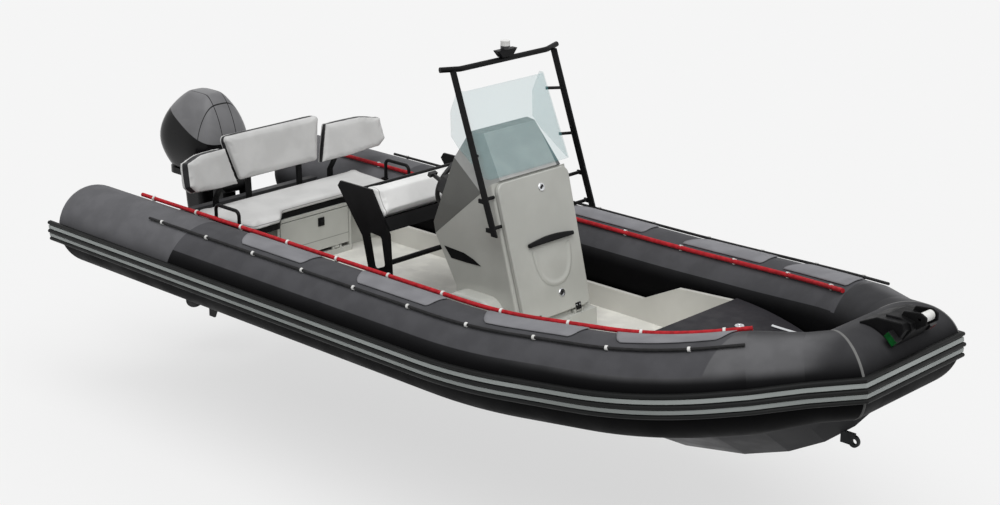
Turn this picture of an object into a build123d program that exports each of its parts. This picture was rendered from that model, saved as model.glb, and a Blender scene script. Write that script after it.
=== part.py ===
from build123d import *
import os
from math import cos, radians, sin

os.makedirs("parts", exist_ok=True)

# Frame: X forward, Y to port, Z up, millimetres; the origin is on the waterline amidships.
# Gaps: pieces fixed to each other, pieces that move past each other, and pins in their bearings.
SEAT_GAP = 0.3
RUN_GAP = 6
BEARING = 0.08

# Buoyancy tubes: side runs bend in and up to a short tube across the bow.
TUBE_R = 275
TUBE_Y = 970
TUBE_Z = 270
STERN_X = -3080
STERN_ROUND = 150
SHOULDER_X = 900
SHOULDER_BEND = 3600
CHEEK_X = 2000
CHEEK_Y = 800
CHEEK_Z = 360
CHEEK_BEND = 2000
BOW_X = 2865
BOW_Y = 315
BOW_Z = 550
BOW_R = 240
TAPER_FROM = 460
TAPER_TO = 160
TAPER_BEND = 500

# Rubbing rail: a strip round the tubes with three ribs and two bright strips between them.
RAIL_ANGLE = -4
RAIL_HALF = 71
RAIL_SEAT = 0.95
RAIL_BASE = 8
RAIL_PROUD = 25
RIB_R = 13
RIB_ANGLE = 11.8
STRIP_ANGLE = 5.9
STRIP_HALF = 12
STRIP_THICK = 7

# Lifelines: red inside, black outside, each held by open loops at an even spacing.
LINE_ANGLE = 29.4
RED_R = 13.5
BLACK_R = 9
RED_FROM = -2560
BLACK_FROM = -2090
LINE_LEAD = 140
LOOP_PITCH = 470
LOOP_WALL = 5
LOOP_WIDE = 16
RED_LOOPS = 11
BLACK_LOOPS = 10

# Hull: keel, chine and upper edge at each station from the transom to the stem.
TRANSOM_X = -2500
TRANSOM_THICK = 60
TRANSOM_TOP = 350
KEEL_Z = -350
CHINE_Y = 740
CHINE_Z = -40
SEAT_Y = 790
SEAT_Z = 150

# Deck moulding: a tray inside the tubes with a locker in the bow.
FLOOR_Z = 45
FLOOR_THICK = 15
COAMING = 30
COAMING_LOW = 190
COAMING_HIGH = 335
STEP_FROM = 700
STEP_TO = 1000
LOCKER_X = 1540
LOCKER_FLOOR = 230
BOW_DECK_Z = 400
LOCKER_FRONT = 2270
LID_THICK = 20
LID_INSET = 40

# Hinges of the hatch, the door and the lid: a tab on the leaf turns between two eyes.
HINGE_PIN = 5
HINGE_R = 10
HINGE_TAB = 40
HINGE_EYE = 14
HINGE_RISE = 24

# Console: a light body with a front hatch, a dark dash hood, a screen and its guard.
CONSOLE_HALF = 330
CONSOLE_WALL = 18
HATCH_FOOT_X = 584
HATCH_FOOT_Z = 205
HATCH_HEAD_X = 347
HATCH_HEAD_Z = 1085
HATCH_THICK = 26
HATCH_HALF = 318
DASH_LOW_X = -170
DASH_LOW_Z = 664
CONSOLE_AFT_X = 40
HOOD_TOP_Z = 1345
HOOD_TOP_X = 150
BROW_X = 7
BROW_Z = 1201

# Screen guard: two raked flat bars and a round bar across their heads.
POST_FOOT_X = 451
POST_FOOT_Z = 799
POST_HEAD_X = 107
POST_HEAD_Z = 1744
POST_Y = 442
POST_WIDE = 46
POST_THICK = 12
BAR_R = 17
BAR_HALF = 512

# Steering wheel on the dash.
WHEEL_Y = -70
WHEEL_R = 180
WHEEL_GRIP = 15
WHEEL_STANDOFF = 110

# Leaning post: two cut-out side plates carry a bolster, a panel and two bars.
POST_SEAT_HALF = 470
PLATE_THICK = 14

# Bench: a locker with a front door, a board, a cushion and three backrests.
BENCH_REAR = -2130
BENCH_FRONT = -1714
BENCH_HALF = 335
BENCH_TOP = 400
BOARD_THICK = 45
CUSHION_THICK = 45
CUSHION_HALF = 735
BACK_FOOT_X = -2060
BACK_FOOT_Z = 624
BACK_RAKE = 11.8
BACK_HIGH = 330
BACK_THICK = 78
WING_TOE = 17

# Outboard engine: clamp bracket, swivel bracket, cowl, leg and propeller.
TILT_X = -2640
TILT_Z = 395
PIN_R = 20
CLAMP_Y = 105
CLAMP_THICK = 26
CLAMP_EYE_R = 36
STEER_X = -2740
STEER_R = 26
SWIVEL_R = 52
SWIVEL_LOW = 30
SWIVEL_HIGH = 400
COWL_X = -2915
COWL_Z = 500
COWL_TOP = 1083
COWL_WALL = 8
PLATE_Z = -280
PROP_X = -3010
PROP_Z = -485
PROP_R = 178
SHAFT_R = 15
SHAFT_LONG = 90
SKEG_Z = -680


def save(builder, name):
    """Label one finished piece and write its file."""
    builder.part.label = name
    export_step(builder.part, f"parts/{name}.step")


def run_frames(points):
    """Direction, outward side and upward side of each straight run, carried along without a twist."""
    frames = []
    outward = Vector(0, 1, 0)
    for start, end in zip(points, points[1:]):
        along = (end - start).normalized()
        if frames and frames[-1][0].get_angle(along) > 0.01:
            before = frames[-1][0]
            outward = outward.rotate(Axis((0, 0, 0), before.cross(along)), before.get_angle(along))
        frames.append((along, outward, along.cross(outward)))
    return frames


def toward(frame, angle):
    """The direction on a run that stands at an angle up from the tube's outer side."""
    return frame[1] * cos(radians(angle)) + frame[2] * sin(radians(angle))


def mirrored(v):
    """The same point or direction on the other side of the boat."""
    return Vector(v.X, -v.Y, v.Z)


def hinge_eyes(x, low_z, z, places):
    """Fixed eyes of a hinge, standing in pairs on a sill; they are bored for the leaf's pins."""
    for y in places:
        for side in (-1, 1):
            eye_y = y + side * (HINGE_TAB / 2 + RUN_GAP + HINGE_EYE / 2)
            with Locations((x, eye_y, (low_z + z + HINGE_R) / 2)):
                Box(2 * HINGE_R, HINGE_EYE, z + HINGE_R - low_z)
            with Locations(Plane((x, eye_y, z), z_dir=(0, 1, 0))):
                Cylinder(HINGE_PIN + BEARING, HINGE_EYE, mode=Mode.SUBTRACT)


def hinge_pins(x, z, places):
    """Pins of a hinge, one through each pair of eyes."""
    for y in places:
        with Locations(Plane((x, y, z), z_dir=(0, 1, 0))):
            Cylinder(HINGE_PIN, HINGE_TAB + 2 * (RUN_GAP + HINGE_EYE))
            Cylinder(HINGE_R - 1, HINGE_TAB)


# Knots of the port tube's centre line.
bow_corner = Vector(BOW_X, BOW_Y, BOW_Z)
cheek = Vector(CHEEK_X, CHEEK_Y, CHEEK_Z)
last_run = (bow_corner - cheek).normalized()
taper_start = bow_corner - last_run * TAPER_FROM
taper_end = bow_corner - last_run * TAPER_TO
knots = [Vector(STERN_X, TUBE_Y, TUBE_Z), Vector(SHOULDER_X, TUBE_Y, TUBE_Z), cheek]
knots += [taper_start, taper_end, bow_corner]
frames = run_frames(knots)
bends = [SHOULDER_BEND, CHEEK_BEND, TAPER_BEND, TAPER_BEND]
mitre_port = Plane(bow_corner, z_dir=last_run + Vector(0, -1, 0))
mitre_starboard = Plane(mirrored(bow_corner), z_dir=mirrored(last_run) + Vector(0, 1, 0))


def line_on_tube(angle, lifts):
    """Knots and bend radii of a line that lies along the tube, each knot lifted off the centre line."""
    points = [knots[0] + toward(frames[0], angle) * lifts[0]]
    radii = []
    for i in range(1, len(lifts) - 1):
        before, after = frames[i - 1], frames[i]
        low, high = toward(before, angle) * lifts[i], toward(after, angle) * lifts[i]
        both = before[0] + after[0]
        points.append(knots[i] + low + before[0] * ((high - low).dot(both) / both.dot(both)))
        turn = after[0] - before[0]
        inward = (low + high).dot(turn.normalized()) / 2 if turn.length > 0.001 else 0
        radii.append(bends[i - 1] - inward)
    points.append(knots[len(lifts) - 1] + toward(frames[len(lifts) - 2], angle) * lifts[-1])
    return points, radii


def side_tube(grow):
    """The port tube, grown by a little where it is used to cut a seat in its neighbours."""
    with BuildPart() as tube:
        with BuildLine():
            FilletPolyline(*knots[:4], radius=bends[:2])
        with BuildSketch(Plane(knots[0], x_dir=(0, 1, 0), z_dir=(1, 0, 0))):
            Circle(TUBE_R + grow)
        sweep()
        with Locations(Plane(taper_start, x_dir=frames[3][1], z_dir=last_run)):
            Cone(TUBE_R + grow, BOW_R + grow, TAPER_FROM - TAPER_TO, align=(Align.CENTER, Align.CENTER, Align.MIN))
        with Locations(Plane(taper_end, x_dir=frames[3][1], z_dir=last_run)):
            Cylinder(BOW_R + grow, 2 * TAPER_TO, align=(Align.CENTER, Align.CENTER, Align.MIN))
        fillet(tube.edges().group_by(Axis.X)[0], STERN_ROUND)
        split(bisect_by=mitre_port, keep=Keep.BOTTOM)
    return tube.part


def bow_tube(grow):
    """The tube across the bow, cut to the two mitres."""
    with BuildPart() as tube:
        with Locations(Plane((BOW_X, 0, BOW_Z), z_dir=(0, 1, 0))):
            Cylinder(BOW_R + grow, 2 * BOW_Y + 4 * BOW_R)
        split(bisect_by=mitre_port, keep=Keep.TOP)
        split(bisect_by=mitre_starboard, keep=Keep.TOP)
    return tube.part


# Port side tube
with BuildPart() as tube_port:
    add(side_tube(0))
save(tube_port, "tube_port")

# Starboard side tube
with BuildPart() as tube_starboard:
    mirror(tube_port.part, about=Plane.XZ)
save(tube_starboard, "tube_starboard")

# Bow tube
with BuildPart() as tube_bow:
    add(bow_tube(0))
save(tube_bow, "tube_bow")

# All three tubes, grown to cut seats in the hull, the deck and the rail
with BuildPart() as seat_port:
    add(side_tube(SEAT_GAP))
with BuildPart() as seat_bow:
    add(bow_tube(SEAT_GAP))
tube_seats = [seat_port.part, mirror(seat_port.part, about=Plane.XZ), seat_bow.part]

rail_points, rail_bends = line_on_tube(RAIL_ANGLE, [TUBE_R] * 4 + [BOW_R] * 2)
rail_out = toward(frames[0], RAIL_ANGLE)
rail_plane = Plane(rail_points[0], x_dir=rail_out, z_dir=(1, 0, 0))
corner_out = toward(frames[4], RAIL_ANGLE)
mitre_normal = mitre_port.z_dir
bow_out = corner_out - mitre_normal * (2 * corner_out.dot(mitre_normal))
bow_rail_at = Vector(BOW_X, 0, BOW_Z) + bow_out * BOW_R
bow_rail_plane = Plane(bow_rail_at, x_dir=bow_out, z_dir=(0, -1, 0))


def rail_section():
    """Base strip with three ribs; the middle of the tube is one radius behind the section's origin."""
    with BuildSketch() as section:
        with Locations((-TUBE_R, 0)):
            Circle(TUBE_R + RAIL_BASE)
        with Locations((0, 0)):
            Rectangle(4 * RAIL_PROUD, 2 * RAIL_HALF, mode=Mode.INTERSECT)
        for angle in (-RIB_ANGLE, 0, RIB_ANGLE):
            reach = TUBE_R + RAIL_PROUD - RIB_R
            with Locations((reach * cos(radians(angle)) - TUBE_R, reach * sin(radians(angle)))):
                Circle(RIB_R)
        with Locations((-TUBE_R, 0)):
            Circle(TUBE_R + RAIL_SEAT, mode=Mode.SUBTRACT)
    return section.sketch


def strip_section():
    """Two bright strips that lie on the base between the ribs."""
    with BuildSketch() as section:
        for angle in (-STRIP_ANGLE, STRIP_ANGLE):
            reach = TUBE_R + RAIL_BASE + SEAT_GAP + STRIP_THICK / 2
            with Locations(Location((reach * cos(radians(angle)) - TUBE_R, reach * sin(radians(angle))), angle)):
                Rectangle(STRIP_THICK, 2 * STRIP_HALF)
    return section.sketch


def round_the_tubes(section):
    """Sweep a section along the port tube, across the bow and along the starboard tube."""
    with BuildPart() as side:
        with BuildLine():
            FilletPolyline(*rail_points[:5], rail_points[5] + last_run * TAPER_TO, radius=rail_bends)
        with BuildSketch(rail_plane):
            add(section)
        sweep()
        split(bisect_by=mitre_port, keep=Keep.BOTTOM)
    with BuildPart() as front:
        with BuildSketch(bow_rail_plane):
            add(section)
        extrude(amount=2 * BOW_Y, both=True)
        split(bisect_by=mitre_port, keep=Keep.TOP)
        split(bisect_by=mitre_starboard, keep=Keep.TOP)
    with BuildPart() as whole:
        add(side.part)
        add(front.part)
        mirror(side.part, about=Plane.XZ)
    return whole.part


# Rubbing rail
with BuildPart() as rub_rail:
    add(round_the_tubes(rail_section()))
save(rub_rail, "rub_rail")

# Bright strips in the rail
with BuildPart() as rail_strips:
    add(round_the_tubes(strip_section()))
save(rail_strips, "rail_strips")


def lifeline(angle, rope_r, start_x):
    """Centre line of a lifeline that stands off the tube by the thickness of its loops."""
    lift = TUBE_R + rope_r + LOOP_WALL + 2 * SEAT_GAP
    points, radii = line_on_tube(angle, [lift] * 4)
    points[0] = Vector(start_x, points[0].Y, points[0].Z)
    with BuildLine() as run:
        FilletPolyline(*points, radius=radii[:2])
    return run.wire()


def rope(path, rope_r):
    """One round rope along its line."""
    with BuildPart() as line:
        with BuildSketch(Plane(path @ 0, x_dir=(0, 1, 0), z_dir=path % 0)):
            Circle(rope_r)
        sweep(path=path)
    return line.part


def loops(path, rope_r, count):
    """Open loops round a rope at an even spacing."""
    places = [Plane(path @ u, x_dir=(0, 1, 0), z_dir=path % u)
              for u in [(LINE_LEAD + i * LOOP_PITCH) / path.length for i in range(count)]]
    with BuildPart() as row:
        with BuildSketch(*places):
            Circle(rope_r + SEAT_GAP + LOOP_WALL)
            Circle(rope_r + SEAT_GAP, mode=Mode.SUBTRACT)
            with Locations((-1.45 * rope_r, 0)):
                Rectangle(2 * rope_r, 4 * rope_r, mode=Mode.SUBTRACT)
        extrude(amount=LOOP_WIDE / 2, both=True)
    return row.part


red_path = lifeline(180 - 90 + LINE_ANGLE, RED_R, RED_FROM)
black_path = lifeline(90 - LINE_ANGLE, BLACK_R, BLACK_FROM)

# Red lifelines
with BuildPart() as lifelines_red:
    add(rope(red_path, RED_R))
    mirror(about=Plane.XZ)
save(lifelines_red, "lifelines_red")

# Black lifelines
with BuildPart() as lifelines_black:
    add(rope(black_path, BLACK_R))
    mirror(about=Plane.XZ)
save(lifelines_black, "lifelines_black")

# Loops that hold the lifelines
with BuildPart() as lifeline_loops:
    add(loops(red_path, RED_R, RED_LOOPS))
    add(loops(black_path, BLACK_R, BLACK_LOOPS))
    mirror(about=Plane.XZ)
save(lifeline_loops, "lifeline_loops")

# Plan of the deck moulding, a little inside the tubes
inner_points, inner_bends = line_on_tube(180, [TUBE_R + COAMING / 3] * 4)
inner_points = [Vector(TRANSOM_X, inner_points[0].Y), *[Vector(p.X, p.Y) for p in inner_points[1:]]]


def deck_plan(inset, aft_x, front_x):
    """Outline between the tubes, drawn in by an inset and cut off at both ends."""
    with BuildSketch() as plan:
        with BuildLine():
            edge = FilletPolyline(*inner_points, radius=inner_bends[:2])
            far = mirror(edge, about=Plane.XZ)
            Line(edge @ 0, far @ 0)
            Line(edge @ 1, far @ 1)
        make_face()
        if inset:
            offset(amount=-inset)
        with Locations(((aft_x + front_x) / 2, 0)):
            Rectangle(front_x - aft_x, 4 * TUBE_Y, mode=Mode.INTERSECT)
    return plan.sketch


def tray(grow):
    """The room that the deck moulding takes: cockpit tray and bow locker, up to the coaming's edge."""
    with BuildPart() as room:
        with BuildSketch(Plane.XY.offset(FLOOR_Z - FLOOR_THICK - grow)):
            add(deck_plan(-grow, TRANSOM_X - grow, LOCKER_X + COAMING))
        extrude(amount=BOW_DECK_Z)
        with BuildSketch(Plane.XY.offset(LOCKER_FLOOR - FLOOR_THICK - grow)):
            add(deck_plan(-grow, LOCKER_X, LOCKER_FRONT + COAMING + grow))
        extrude(amount=BOW_DECK_Z)
        with BuildSketch(Plane.XZ):
            with BuildLine():
                Polyline((TRANSOM_X - 2, FLOOR_Z - 2 * FLOOR_THICK), (TRANSOM_X - 2, COAMING_LOW + grow),
                         (STEP_FROM, COAMING_LOW + grow), (STEP_TO, COAMING_HIGH + grow),
                         (LOCKER_X, BOW_DECK_Z + grow), (BOW_X, BOW_DECK_Z + grow),
                         (BOW_X, FLOOR_Z - 2 * FLOOR_THICK), close=True)
            make_face()
        extrude(amount=2 * TUBE_Y, both=True, mode=Mode.INTERSECT)
    return room.part


# Hull: a deep V with hard chines, cut away for the deck moulding and the tubes
hull_stations = [
    # x, keel z, chine y, chine z, upper edge y, upper edge z
    (TRANSOM_X, KEEL_Z, CHINE_Y, CHINE_Z, SEAT_Y, SEAT_Z),
    (0, KEEL_Z, CHINE_Y, CHINE_Z, SEAT_Y, SEAT_Z),
    (1000, KEEL_Z, CHINE_Y - 10, CHINE_Z + 15, SEAT_Y - 5, SEAT_Z + 10),
    (1600, KEEL_Z + 8, CHINE_Y - 95, CHINE_Z + 60, SEAT_Y - 70, SEAT_Z + 50),
    (2029, KEEL_Z + 86, CHINE_Y - 230, CHINE_Z + 130, SEAT_Y - 190, SEAT_Z + 110),
    (2335, KEEL_Z + 198, CHINE_Y - 350, CHINE_Z + 190, SEAT_Y - 310, SEAT_Z + 160),
    (2572, KEEL_Z + 330, CHINE_Y - 470, CHINE_Z + 255, SEAT_Y - 430, SEAT_Z + 220),
    (2760, KEEL_Z + 480, CHINE_Y - 590, CHINE_Z + 325, SEAT_Y - 560, SEAT_Z + 280),
    (2870, KEEL_Z + 608, CHINE_Y - 680, CHINE_Z + 375, SEAT_Y - 690, SEAT_Z + 310),
]
with BuildPart() as hull:
    for x, keel_z, chine_y, chine_z, edge_y, edge_z in hull_stations:
        with BuildSketch(Plane((x, 0, 0), x_dir=(0, 1, 0), z_dir=(1, 0, 0))):
            with BuildLine():
                Polyline((0, keel_z), (chine_y, chine_z), (edge_y, edge_z), (-edge_y, edge_z),
                         (-chine_y, chine_z), close=True)
            make_face()
    loft(ruled=True)
    add(tray(SEAT_GAP), mode=Mode.SUBTRACT)
    add(tube_seats, mode=Mode.SUBTRACT)
save(hull, "hull")

# Transom board behind the hull
with BuildPart() as transom:
    with BuildSketch(Plane((TRANSOM_X - SEAT_GAP, 0, 0), x_dir=(0, 1, 0), z_dir=(1, 0, 0))):
        with BuildLine():
            Polyline((0, KEEL_Z + 30), (CHINE_Y, CHINE_Z + 30), (SEAT_Y, SEAT_Z), (SEAT_Y - 90, TRANSOM_TOP),
                     (90 - SEAT_Y, TRANSOM_TOP), (-SEAT_Y, SEAT_Z), (-CHINE_Y, CHINE_Z + 30), close=True)
        make_face()
    extrude(amount=-TRANSOM_THICK)
    add(tube_seats, mode=Mode.SUBTRACT)
save(transom, "transom")

lid_pin_x = LOCKER_FRONT + 20
lid_pin_z = BOW_DECK_Z + RUN_GAP + HINGE_R
lid_hinges = (-90, 90)

# Deck moulding: floor, coamings and bow locker
with BuildPart() as deck:
    add(tray(0))
    with BuildSketch(Plane.XY.offset(FLOOR_Z)):
        add(deck_plan(COAMING, TRANSOM_X - COAMING, LOCKER_X))
    extrude(amount=BOW_DECK_Z, mode=Mode.SUBTRACT)
    with BuildSketch(Plane.XY.offset(LOCKER_FLOOR)):
        add(deck_plan(2 * COAMING, LOCKER_X + COAMING, LOCKER_FRONT - COAMING))
    extrude(amount=BOW_DECK_Z, mode=Mode.SUBTRACT)
    hinge_eyes(lid_pin_x, BOW_DECK_Z - 1, lid_pin_z, lid_hinges)
    add(tube_seats, mode=Mode.SUBTRACT)
save(deck, "deck")

# Bow locker lid, hinged on its forward edge
with BuildPart() as bow_lid:
    with BuildSketch(Plane.XY.offset(BOW_DECK_Z + RUN_GAP)):
        add(deck_plan(LID_INSET, LOCKER_X - COAMING / 2, LOCKER_FRONT))
    extrude(amount=LID_THICK)
    for y in lid_hinges:
        with Locations(((LOCKER_FRONT + lid_pin_x) / 2 - 5, y, lid_pin_z)):
            Box(lid_pin_x - LOCKER_FRONT + 20, HINGE_TAB, 12)
    hinge_pins(lid_pin_x, lid_pin_z, lid_hinges)
save(bow_lid, "bow_lid")

# Console side outline: front plane, dash line and the leg below the dash
hatch_run = Vector(HATCH_HEAD_X - HATCH_FOOT_X, 0, HATCH_HEAD_Z - HATCH_FOOT_Z)
hatch_up = hatch_run.normalized()
hatch_out = Vector(hatch_up.Z, 0, -hatch_up.X)
body_foot = Vector(HATCH_FOOT_X, 0, HATCH_FOOT_Z) - hatch_out * (HATCH_THICK + RUN_GAP)
body_head = Vector(HATCH_HEAD_X, 0, HATCH_HEAD_Z) - hatch_out * (HATCH_THICK + RUN_GAP)
hood_line = Vector(HATCH_HEAD_X - DASH_LOW_X, 0, HATCH_HEAD_Z - DASH_LOW_Z).normalized()

hatch_pin_x = HATCH_FOOT_X - HATCH_THICK / 2
hatch_hinges = (-180, 180)

# Console body: a hollow moulding, open behind the hatch
with BuildPart() as console_body:
    with BuildSketch(Plane.XZ):
        with BuildLine():
            Polyline((CONSOLE_AFT_X, FLOOR_Z + SEAT_GAP), (HATCH_FOOT_X + 20, FLOOR_Z + SEAT_GAP),
                     (HATCH_FOOT_X + 12, HATCH_FOOT_Z - 2 * RUN_GAP), (body_foot.X + 2, HATCH_FOOT_Z - 2 * RUN_GAP),
                     (body_head.X, body_head.Z), (DASH_LOW_X, DASH_LOW_Z),
                     (CONSOLE_AFT_X - 30, DASH_LOW_Z - 300), close=True)
        make_face()
    extrude(amount=CONSOLE_HALF, both=True)
    fillet(console_body.edges().filter_by(Axis.Y, reverse=True).filter_by(lambda e: e.center().X > 250
           and abs(e.center().Y) > CONSOLE_HALF - 1 and e.length > 300 and abs(e.tangent_at(0).Z) > 0.9), 14)
    with BuildSketch(Plane.XZ):
        with BuildLine():
            Polyline((CONSOLE_AFT_X + 20, HATCH_FOOT_Z + 10), (HATCH_FOOT_X, HATCH_FOOT_Z + 10),
                     (HATCH_HEAD_X + 20, HATCH_HEAD_Z - 110), (HATCH_HEAD_X - 90, HATCH_HEAD_Z - 110),
                     (DASH_LOW_X + 40, DASH_LOW_Z - 12), (CONSOLE_AFT_X - 5, DASH_LOW_Z - 300), close=True)
        make_face()
    extrude(amount=CONSOLE_HALF - 2 * CONSOLE_WALL, both=True, mode=Mode.SUBTRACT)
    hinge_eyes(hatch_pin_x, HATCH_FOOT_Z - 2 * RUN_GAP - 1, HATCH_FOOT_Z, hatch_hinges)
save(console_body, "console_body")

# Front hatch of the console, hinged along its foot
hatch_plane = Plane((HATCH_FOOT_X, 0, HATCH_FOOT_Z), x_dir=(0, 1, 0), z_dir=hatch_out)
with BuildPart() as console_hatch:
    with BuildSketch(hatch_plane):
        with BuildLine():
            FilletPolyline((HATCH_HALF - 20, HINGE_RISE), (HATCH_HALF, hatch_run.length - RUN_GAP),
                           (-HATCH_HALF, hatch_run.length - RUN_GAP), (20 - HATCH_HALF, HINGE_RISE), radius=60, close=True)
        make_face()
    extrude(amount=-HATCH_THICK)
    fillet(console_hatch.faces().sort_by(Axis((0, 0, 0), hatch_out))[-1].edges(), 8)
    for y in hatch_hinges:
        with Locations((hatch_pin_x - 2, y, HATCH_FOOT_Z + HINGE_RISE / 2 + 3)):
            Box(12, HINGE_TAB, HINGE_RISE + 8)
    hinge_pins(hatch_pin_x, HATCH_FOOT_Z, hatch_hinges)
save(console_hatch, "console_hatch")

# Place of the steering column, square to the dash
dash_run = Vector(BROW_X - DASH_LOW_X + 16, 0, BROW_Z - DASH_LOW_Z - 72).normalized()
column = Vector(-dash_run.Z, 0, dash_run.X)
wheel_foot = Vector(DASH_LOW_X - 16, WHEEL_Y, DASH_LOW_Z + 72) + dash_run * 175
wheel_centre = wheel_foot + column * WHEEL_STANDOFF
COLUMN_R = 24
COLUMN_DEEP = 45

# Dash hood on top of the console, cut to a facet on each side
facet = Plane(Vector(BROW_X - 12, CONSOLE_HALF, BROW_Z - 11),
              z_dir=Vector(208, 0, -165).cross(Vector(105, -80, 133)))
with BuildPart() as dash_hood:
    with BuildSketch(Plane.XZ):
        with BuildLine():
            Polyline((body_head.X + 14, body_head.Z + SEAT_GAP + 12), (HOOD_TOP_X, HOOD_TOP_Z), (60, HOOD_TOP_Z),
                     (BROW_X, BROW_Z), (DASH_LOW_X - 16, DASH_LOW_Z + 72),
                     (DASH_LOW_X, DASH_LOW_Z + 2 * SEAT_GAP), (body_head.X, body_head.Z + 2 * SEAT_GAP), close=True)
        make_face()
    extrude(amount=CONSOLE_HALF, both=True)
    split(bisect_by=facet, keep=Keep.BOTTOM if facet.z_dir.Z > 0 else Keep.TOP)
    split(bisect_by=Plane(mirrored(facet.origin), z_dir=mirrored(facet.z_dir)),
          keep=Keep.BOTTOM if facet.z_dir.Z > 0 else Keep.TOP)
    with Locations(Plane(wheel_foot - column * COLUMN_DEEP, z_dir=column)):
        Cylinder(COLUMN_R + BEARING, 2 * COLUMN_DEEP, align=(Align.CENTER, Align.CENTER, Align.MIN), mode=Mode.SUBTRACT)
save(dash_hood, "dash_hood")

# Rake of the screen and its guard
post_run = Vector(POST_HEAD_X - POST_FOOT_X, 0, POST_HEAD_Z - POST_FOOT_Z)
rake = post_run * (1 / post_run.Z)


def on_rake(z):
    """How far forward the guard's posts stand at a height."""
    return POST_FOOT_X + rake.X * (z - POST_FOOT_Z)


# Screen: a bent clear sheet that wraps round the hood
SCREEN_Z = 1215
SCREEN_TOP = 1606
SCREEN_THICK = 6
SCREEN_HALF = 405
screen_x = on_rake(SCREEN_Z) - 45


def screen_plan(inset):
    """Outline of the bent sheet at its lower edge; the inner outline runs out behind."""
    nose = screen_x - inset
    side = SCREEN_HALF - inset
    with BuildSketch(Plane.XY.offset(SCREEN_Z)) as plan:
        with BuildLine():
            FilletPolyline((nose - 270 - 20 * inset, side), (nose - 60, side - 40), (nose, 0),
                           (nose - 60, 40 - side), (nose - 270 - 20 * inset, -side), radius=(90, 900, 90))
            Line((nose - 270 - 20 * inset, side), (nose - 270 - 20 * inset, -side))
        make_face()
    return plan.sketch


with BuildPart() as screen:
    add(screen_plan(0))
    extrude(amount=(SCREEN_TOP - SCREEN_Z) * rake.length, dir=rake.normalized())
    add(screen_plan(SCREEN_THICK))
    extrude(amount=(SCREEN_TOP - SCREEN_Z) * rake.length, dir=rake.normalized(), mode=Mode.SUBTRACT)
    with BuildSketch(Plane.XZ):
        with BuildLine():
            FilletPolyline((screen_x + 40, SCREEN_Z - 10), (on_rake(SCREEN_TOP), SCREEN_TOP + 10),
                           (on_rake(SCREEN_TOP) - 140, SCREEN_TOP), (on_rake(SCREEN_TOP) - 235, SCREEN_TOP - 190),
                           (on_rake(SCREEN_Z) - 270, SCREEN_Z - 10), radius=40, close=True)
        make_face()
    extrude(amount=SCREEN_HALF + 20, both=True, mode=Mode.INTERSECT)
    add(dash_hood.part, mode=Mode.SUBTRACT)
save(screen, "screen")

# Round bar across the heads of the posts
with BuildPart() as screen_bar:
    with BuildLine():
        FilletPolyline((POST_HEAD_X - 38, BAR_HALF, POST_HEAD_Z + BAR_R + 8),
                       (POST_HEAD_X, BAR_HALF - 130, POST_HEAD_Z + BAR_R + SEAT_GAP),
                       (POST_HEAD_X, 130 - BAR_HALF, POST_HEAD_Z + BAR_R + SEAT_GAP),
                       (POST_HEAD_X - 38, -BAR_HALF, POST_HEAD_Z + BAR_R + 8), radius=120)
    with BuildSketch(Plane((POST_HEAD_X - 38, BAR_HALF, POST_HEAD_Z + BAR_R + 8), z_dir=(38, -130, -8))):
        Circle(BAR_R)
    sweep()
save(screen_bar, "screen_bar")

# Guard posts with the stubs that hold them to the console
stub_heights = [830, 1000]
with BuildPart() as screen_posts:
    with BuildSketch(Plane.XZ.offset(-POST_Y)):
        with BuildLine():
            Polyline((POST_FOOT_X - POST_WIDE / 2, POST_FOOT_Z), (POST_FOOT_X + POST_WIDE / 2, POST_FOOT_Z),
                     (POST_HEAD_X + POST_WIDE / 2, POST_HEAD_Z + BAR_R), (POST_HEAD_X - POST_WIDE / 2, POST_HEAD_Z + BAR_R),
                     close=True)
        make_face()
    extrude(amount=POST_THICK / 2, both=True)
    for z in stub_heights:
        stub_x = on_rake(z) - 42
        with Locations(Plane((stub_x, CONSOLE_HALF + SEAT_GAP, z), z_dir=(0, 1, 0))):
            Cylinder(11, POST_Y - CONSOLE_HALF, align=(Align.CENTER, Align.CENTER, Align.MIN))
        with Locations((stub_x + 20, POST_Y, z)):
            Box(70, POST_THICK, 26)
    mirror(about=Plane.XZ)
    add(screen_bar.part, mode=Mode.SUBTRACT)
save(screen_posts, "screen_posts")

# White light on a bracket above the bar
LIGHT_FOOT = POST_HEAD_Z + 2 * BAR_R + 2 * SEAT_GAP
with BuildPart() as mast_light:
    with Locations((POST_HEAD_X, 0, LIGHT_FOOT)):
        Box(44, 60, 16, align=(Align.CENTER, Align.CENTER, Align.MIN))
    with Locations((POST_HEAD_X, 0, LIGHT_FOOT + 16)):
        Box(34, 34, 30, align=(Align.CENTER, Align.CENTER, Align.MIN))
    with Locations((POST_HEAD_X + 8, 0, LIGHT_FOOT + 46)):
        Cylinder(30, 52, align=(Align.CENTER, Align.CENTER, Align.MIN))
save(mast_light, "mast_light")

# Steering wheel: rim, three spokes and the column
wheel_plane = Plane(wheel_centre, x_dir=(0, 1, 0), z_dir=column)
with BuildPart() as steering_wheel:
    with Locations(wheel_plane):
        Torus(WHEEL_R, WHEEL_GRIP)
    with BuildSketch(wheel_plane):
        Circle(46)
        for angle in (0, 180, 270):
            with Locations(Rotation(0, 0, angle)):
                with Locations((WHEEL_R / 2, 0)):
                    Rectangle(WHEEL_R, 34)
    extrude(amount=5, both=True)
    with Locations(Plane(wheel_foot - column * (COLUMN_DEEP - RUN_GAP), z_dir=column)):
        Cylinder(COLUMN_R, WHEEL_STANDOFF + COLUMN_DEEP, align=(Align.CENTER, Align.CENTER, Align.MIN))
save(steering_wheel, "steering_wheel")

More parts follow.
